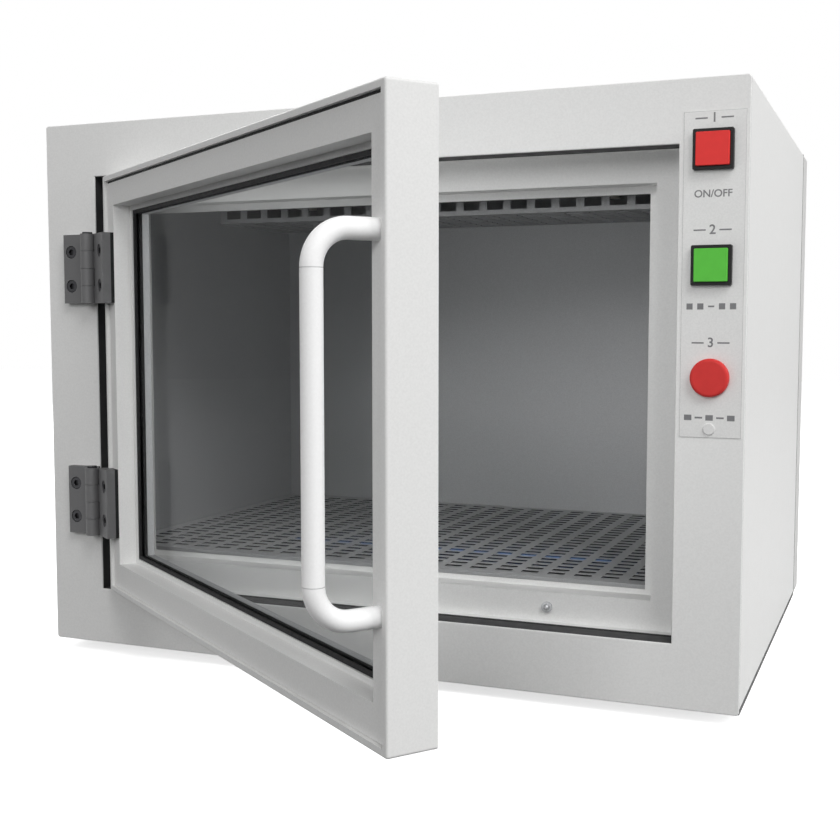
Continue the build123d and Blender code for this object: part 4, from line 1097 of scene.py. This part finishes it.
def add_text(bm, words, height, x, z):
    """Plain figures on the panel."""
    curve = bpy.data.curves.new("figures", "FONT")
    curve.body = words
    curve.size = height / CAPITAL_SHARE
    curve.offset = height * BOLD_SHARE
    curve.align_x = "CENTER"
    curve.align_y = "CENTER"
    holder = bpy.data.objects.new("figures", curve)
    mesh = bpy.data.meshes.new_from_object(holder)
    mesh.transform(Matrix.Rotation(math.pi / 2, 4, "X"))
    before = set(bm.faces)
    bm.from_mesh(mesh)
    lay_flat(bm, before, x, z)
    bpy.data.meshes.remove(mesh)
    bpy.data.objects.remove(holder)
    bpy.data.curves.remove(curve)


def rays_that_see_backdrop(tree):
    """1 for the rays that show the backdrop: from the camera, off gloss and through glass."""
    path = add_node(tree, "ShaderNodeLightPath")
    seen = add_node(
        tree,
        "ShaderNodeMath",
        None,
        {0: path.outputs["Is Camera Ray"], 1: path.outputs["Is Transmission Ray"]},
        operation="MAXIMUM",
    )
    return add_node(
        tree,
        "ShaderNodeMath",
        None,
        {0: seen.outputs[0], 1: path.outputs["Is Glossy Ray"]},
        operation="MAXIMUM",
    ).outputs[0]


class BOX_OT_set_stage(bpy.types.Operator):
    """Set the camera, lamps, world and floor"""

    bl_idname = "box.set_stage"
    bl_label = "Set stage"

    def execute(self, context):
        scene = context.scene
        stage = scene.box_stage
        scene.view_settings.view_transform = "Standard"
        self.place_camera(scene, stage)
        self.light_world(scene, stage)
        middle = (Vector(CAD_BOX[0]) + Vector(CAD_BOX[1])) / 2
        for name, place, size, power in STUDIO_LAMPS:
            self.hang_lamp(name, place, middle, size, getattr(stage, power))
        self.lay_floor(stage)
        return {"FINISHED"}

    def place_camera(self, scene, stage):
        """The photograph's viewpoint."""
        lens = bpy.data.cameras.new("camera")
        lens.lens = stage.lens
        lens.sensor_width = 36.0
        camera = bpy.data.objects.new("camera", lens)
        camera.location = stage.camera_place
        camera.rotation_euler = (math.pi / 2 - stage.camera_drop, 0.0, stage.camera_heading)
        scene.collection.objects.link(camera)
        scene.camera = camera

    def light_world(self, scene, stage):
        """White behind the object and in its reflections, softer as a light on it."""
        world = bpy.data.worlds.new("studio")
        world.use_nodes = True
        tree = world.node_tree
        backdrop = tree.nodes["Background"]
        backdrop.inputs["Color"].default_value = (1.0, 1.0, 1.0, 1.0)
        backdrop.inputs["Strength"].default_value = 1.0
        light = add_node(tree, "ShaderNodeBackground", {"Strength": stage.world_level})
        light.inputs["Color"].default_value = (1.0, 1.0, 1.0, 1.0)
        seen = rays_that_see_backdrop(tree)
        mix = add_node(
            tree,
            "ShaderNodeMixShader",
            None,
            {0: seen, 1: light.outputs[0], 2: backdrop.outputs[0]},
        )
        tree.links.new(mix.outputs[0], tree.nodes["World Output"].inputs["Surface"])
        scene.world = world

    def hang_lamp(self, name, place, target, size, power):
        """A large soft lamp that faces the object."""
        data = bpy.data.lights.new(name, "AREA")
        data.shape = "SQUARE"
        data.size = size
        data.energy = power
        lamp = bpy.data.objects.new(name, data)
        lamp.location = place
        lamp.rotation_euler = (target - Vector(place)).to_track_quat("-Z", "Y").to_euler()
        bpy.context.scene.collection.objects.link(lamp)

    def lay_floor(self, stage):
        """A wide pale floor that the feet stand on."""
        bm = bmesh.new()
        bmesh.ops.create_grid(bm, x_segments=8, y_segments=8, size=FLOOR_REACH)
        mesh = bpy.data.meshes.new("floor")
        bm.to_mesh(mesh)
        bm.free()
        material, tree, shader = new_finish(
            "pale_floor",
            linear(stage.floor),
            0.9,
            Specular_IOR_Level=0.1,
            Emission_Color=linear(stage.floor),
            Emission_Strength=stage.floor_glow,
        )
        speckle(
            tree, shader, (400.0, 400.0, 400.0), shade(stage.floor, 0.99), shade(stage.floor, 1.0)
        )
        # Light that the floor sends back to the object is dimmer than the floor looks
        dim = add_node(tree, "ShaderNodeBsdfDiffuse")
        dim.inputs["Color"].default_value = linear(stage.floor_bounce)
        seen = rays_that_see_backdrop(tree)
        mix = add_node(
            tree, "ShaderNodeMixShader", None, {0: seen, 1: dim.outputs[0], 2: shader.outputs[0]}
        )
        tree.links.new(mix.outputs[0], tree.nodes["Material Output"].inputs["Surface"])
        mesh.materials.append(material)
        mesh.transform(Matrix.Translation((0, 0, CAD_BOX[0][2])))
        floor = bpy.data.objects.new("floor", mesh)
        bpy.context.scene.collection.objects.link(floor)


class BOX_PT_sidebar(bpy.types.Panel):
    """Lists the steps that dress the box"""

    bl_idname = "BOX_PT_sidebar"
    bl_label = "Disinfection Box"
    bl_space_type = "VIEW_3D"
    bl_region_type = "UI"
    bl_category = "Box"

    def draw(self, context):
        for settings in ("box_finish", "box_strips", "box_lamps", "box_stage"):
            group = getattr(context.scene, settings)
            column = self.layout.column(align=True)
            for key in group.bl_rna.properties.keys():
                if key not in ("rna_type", "name"):
                    column.prop(group, key)
        for step in STEPS:
            self.layout.operator(step.bl_idname)


STEPS = (
    BOX_OT_coat_cabinet,
    BOX_OT_line_chamber,
    BOX_OT_fit_rubber,
    BOX_OT_finish_door,
    BOX_OT_finish_hinges,
    BOX_OT_fit_lamps,
    BOX_OT_fit_controls,
    BOX_OT_set_stage,
)
GROUPS = {
    "box_finish": FinishSettings,
    "box_strips": StripSettings,
    "box_lamps": LampSettings,
    "box_stage": StageSettings,
}


def register():
    """Register the settings, steps and sidebar."""
    for name, group in GROUPS.items():
        bpy.utils.register_class(group)
        setattr(bpy.types.Scene, name, bpy.props.PointerProperty(type=group))
    for item in (*STEPS, BOX_PT_sidebar):
        bpy.utils.register_class(item)


def unregister():
    """Remove the sidebar, steps and settings."""
    for item in (BOX_PT_sidebar, *reversed(STEPS)):
        bpy.utils.unregister_class(item)
    for name, group in GROUPS.items():
        delattr(bpy.types.Scene, name)
        bpy.utils.unregister_class(group)


def main():
    """Dress the box, step by step."""
    register()
    bpy.ops.box.coat_cabinet()
    bpy.ops.box.line_chamber()
    bpy.ops.box.fit_rubber()
    bpy.ops.box.finish_door()
    bpy.ops.box.finish_hinges()
    bpy.ops.box.fit_lamps()
    bpy.ops.box.fit_controls()
    bpy.ops.box.set_stage()


if __name__ == "__main__":
    main()
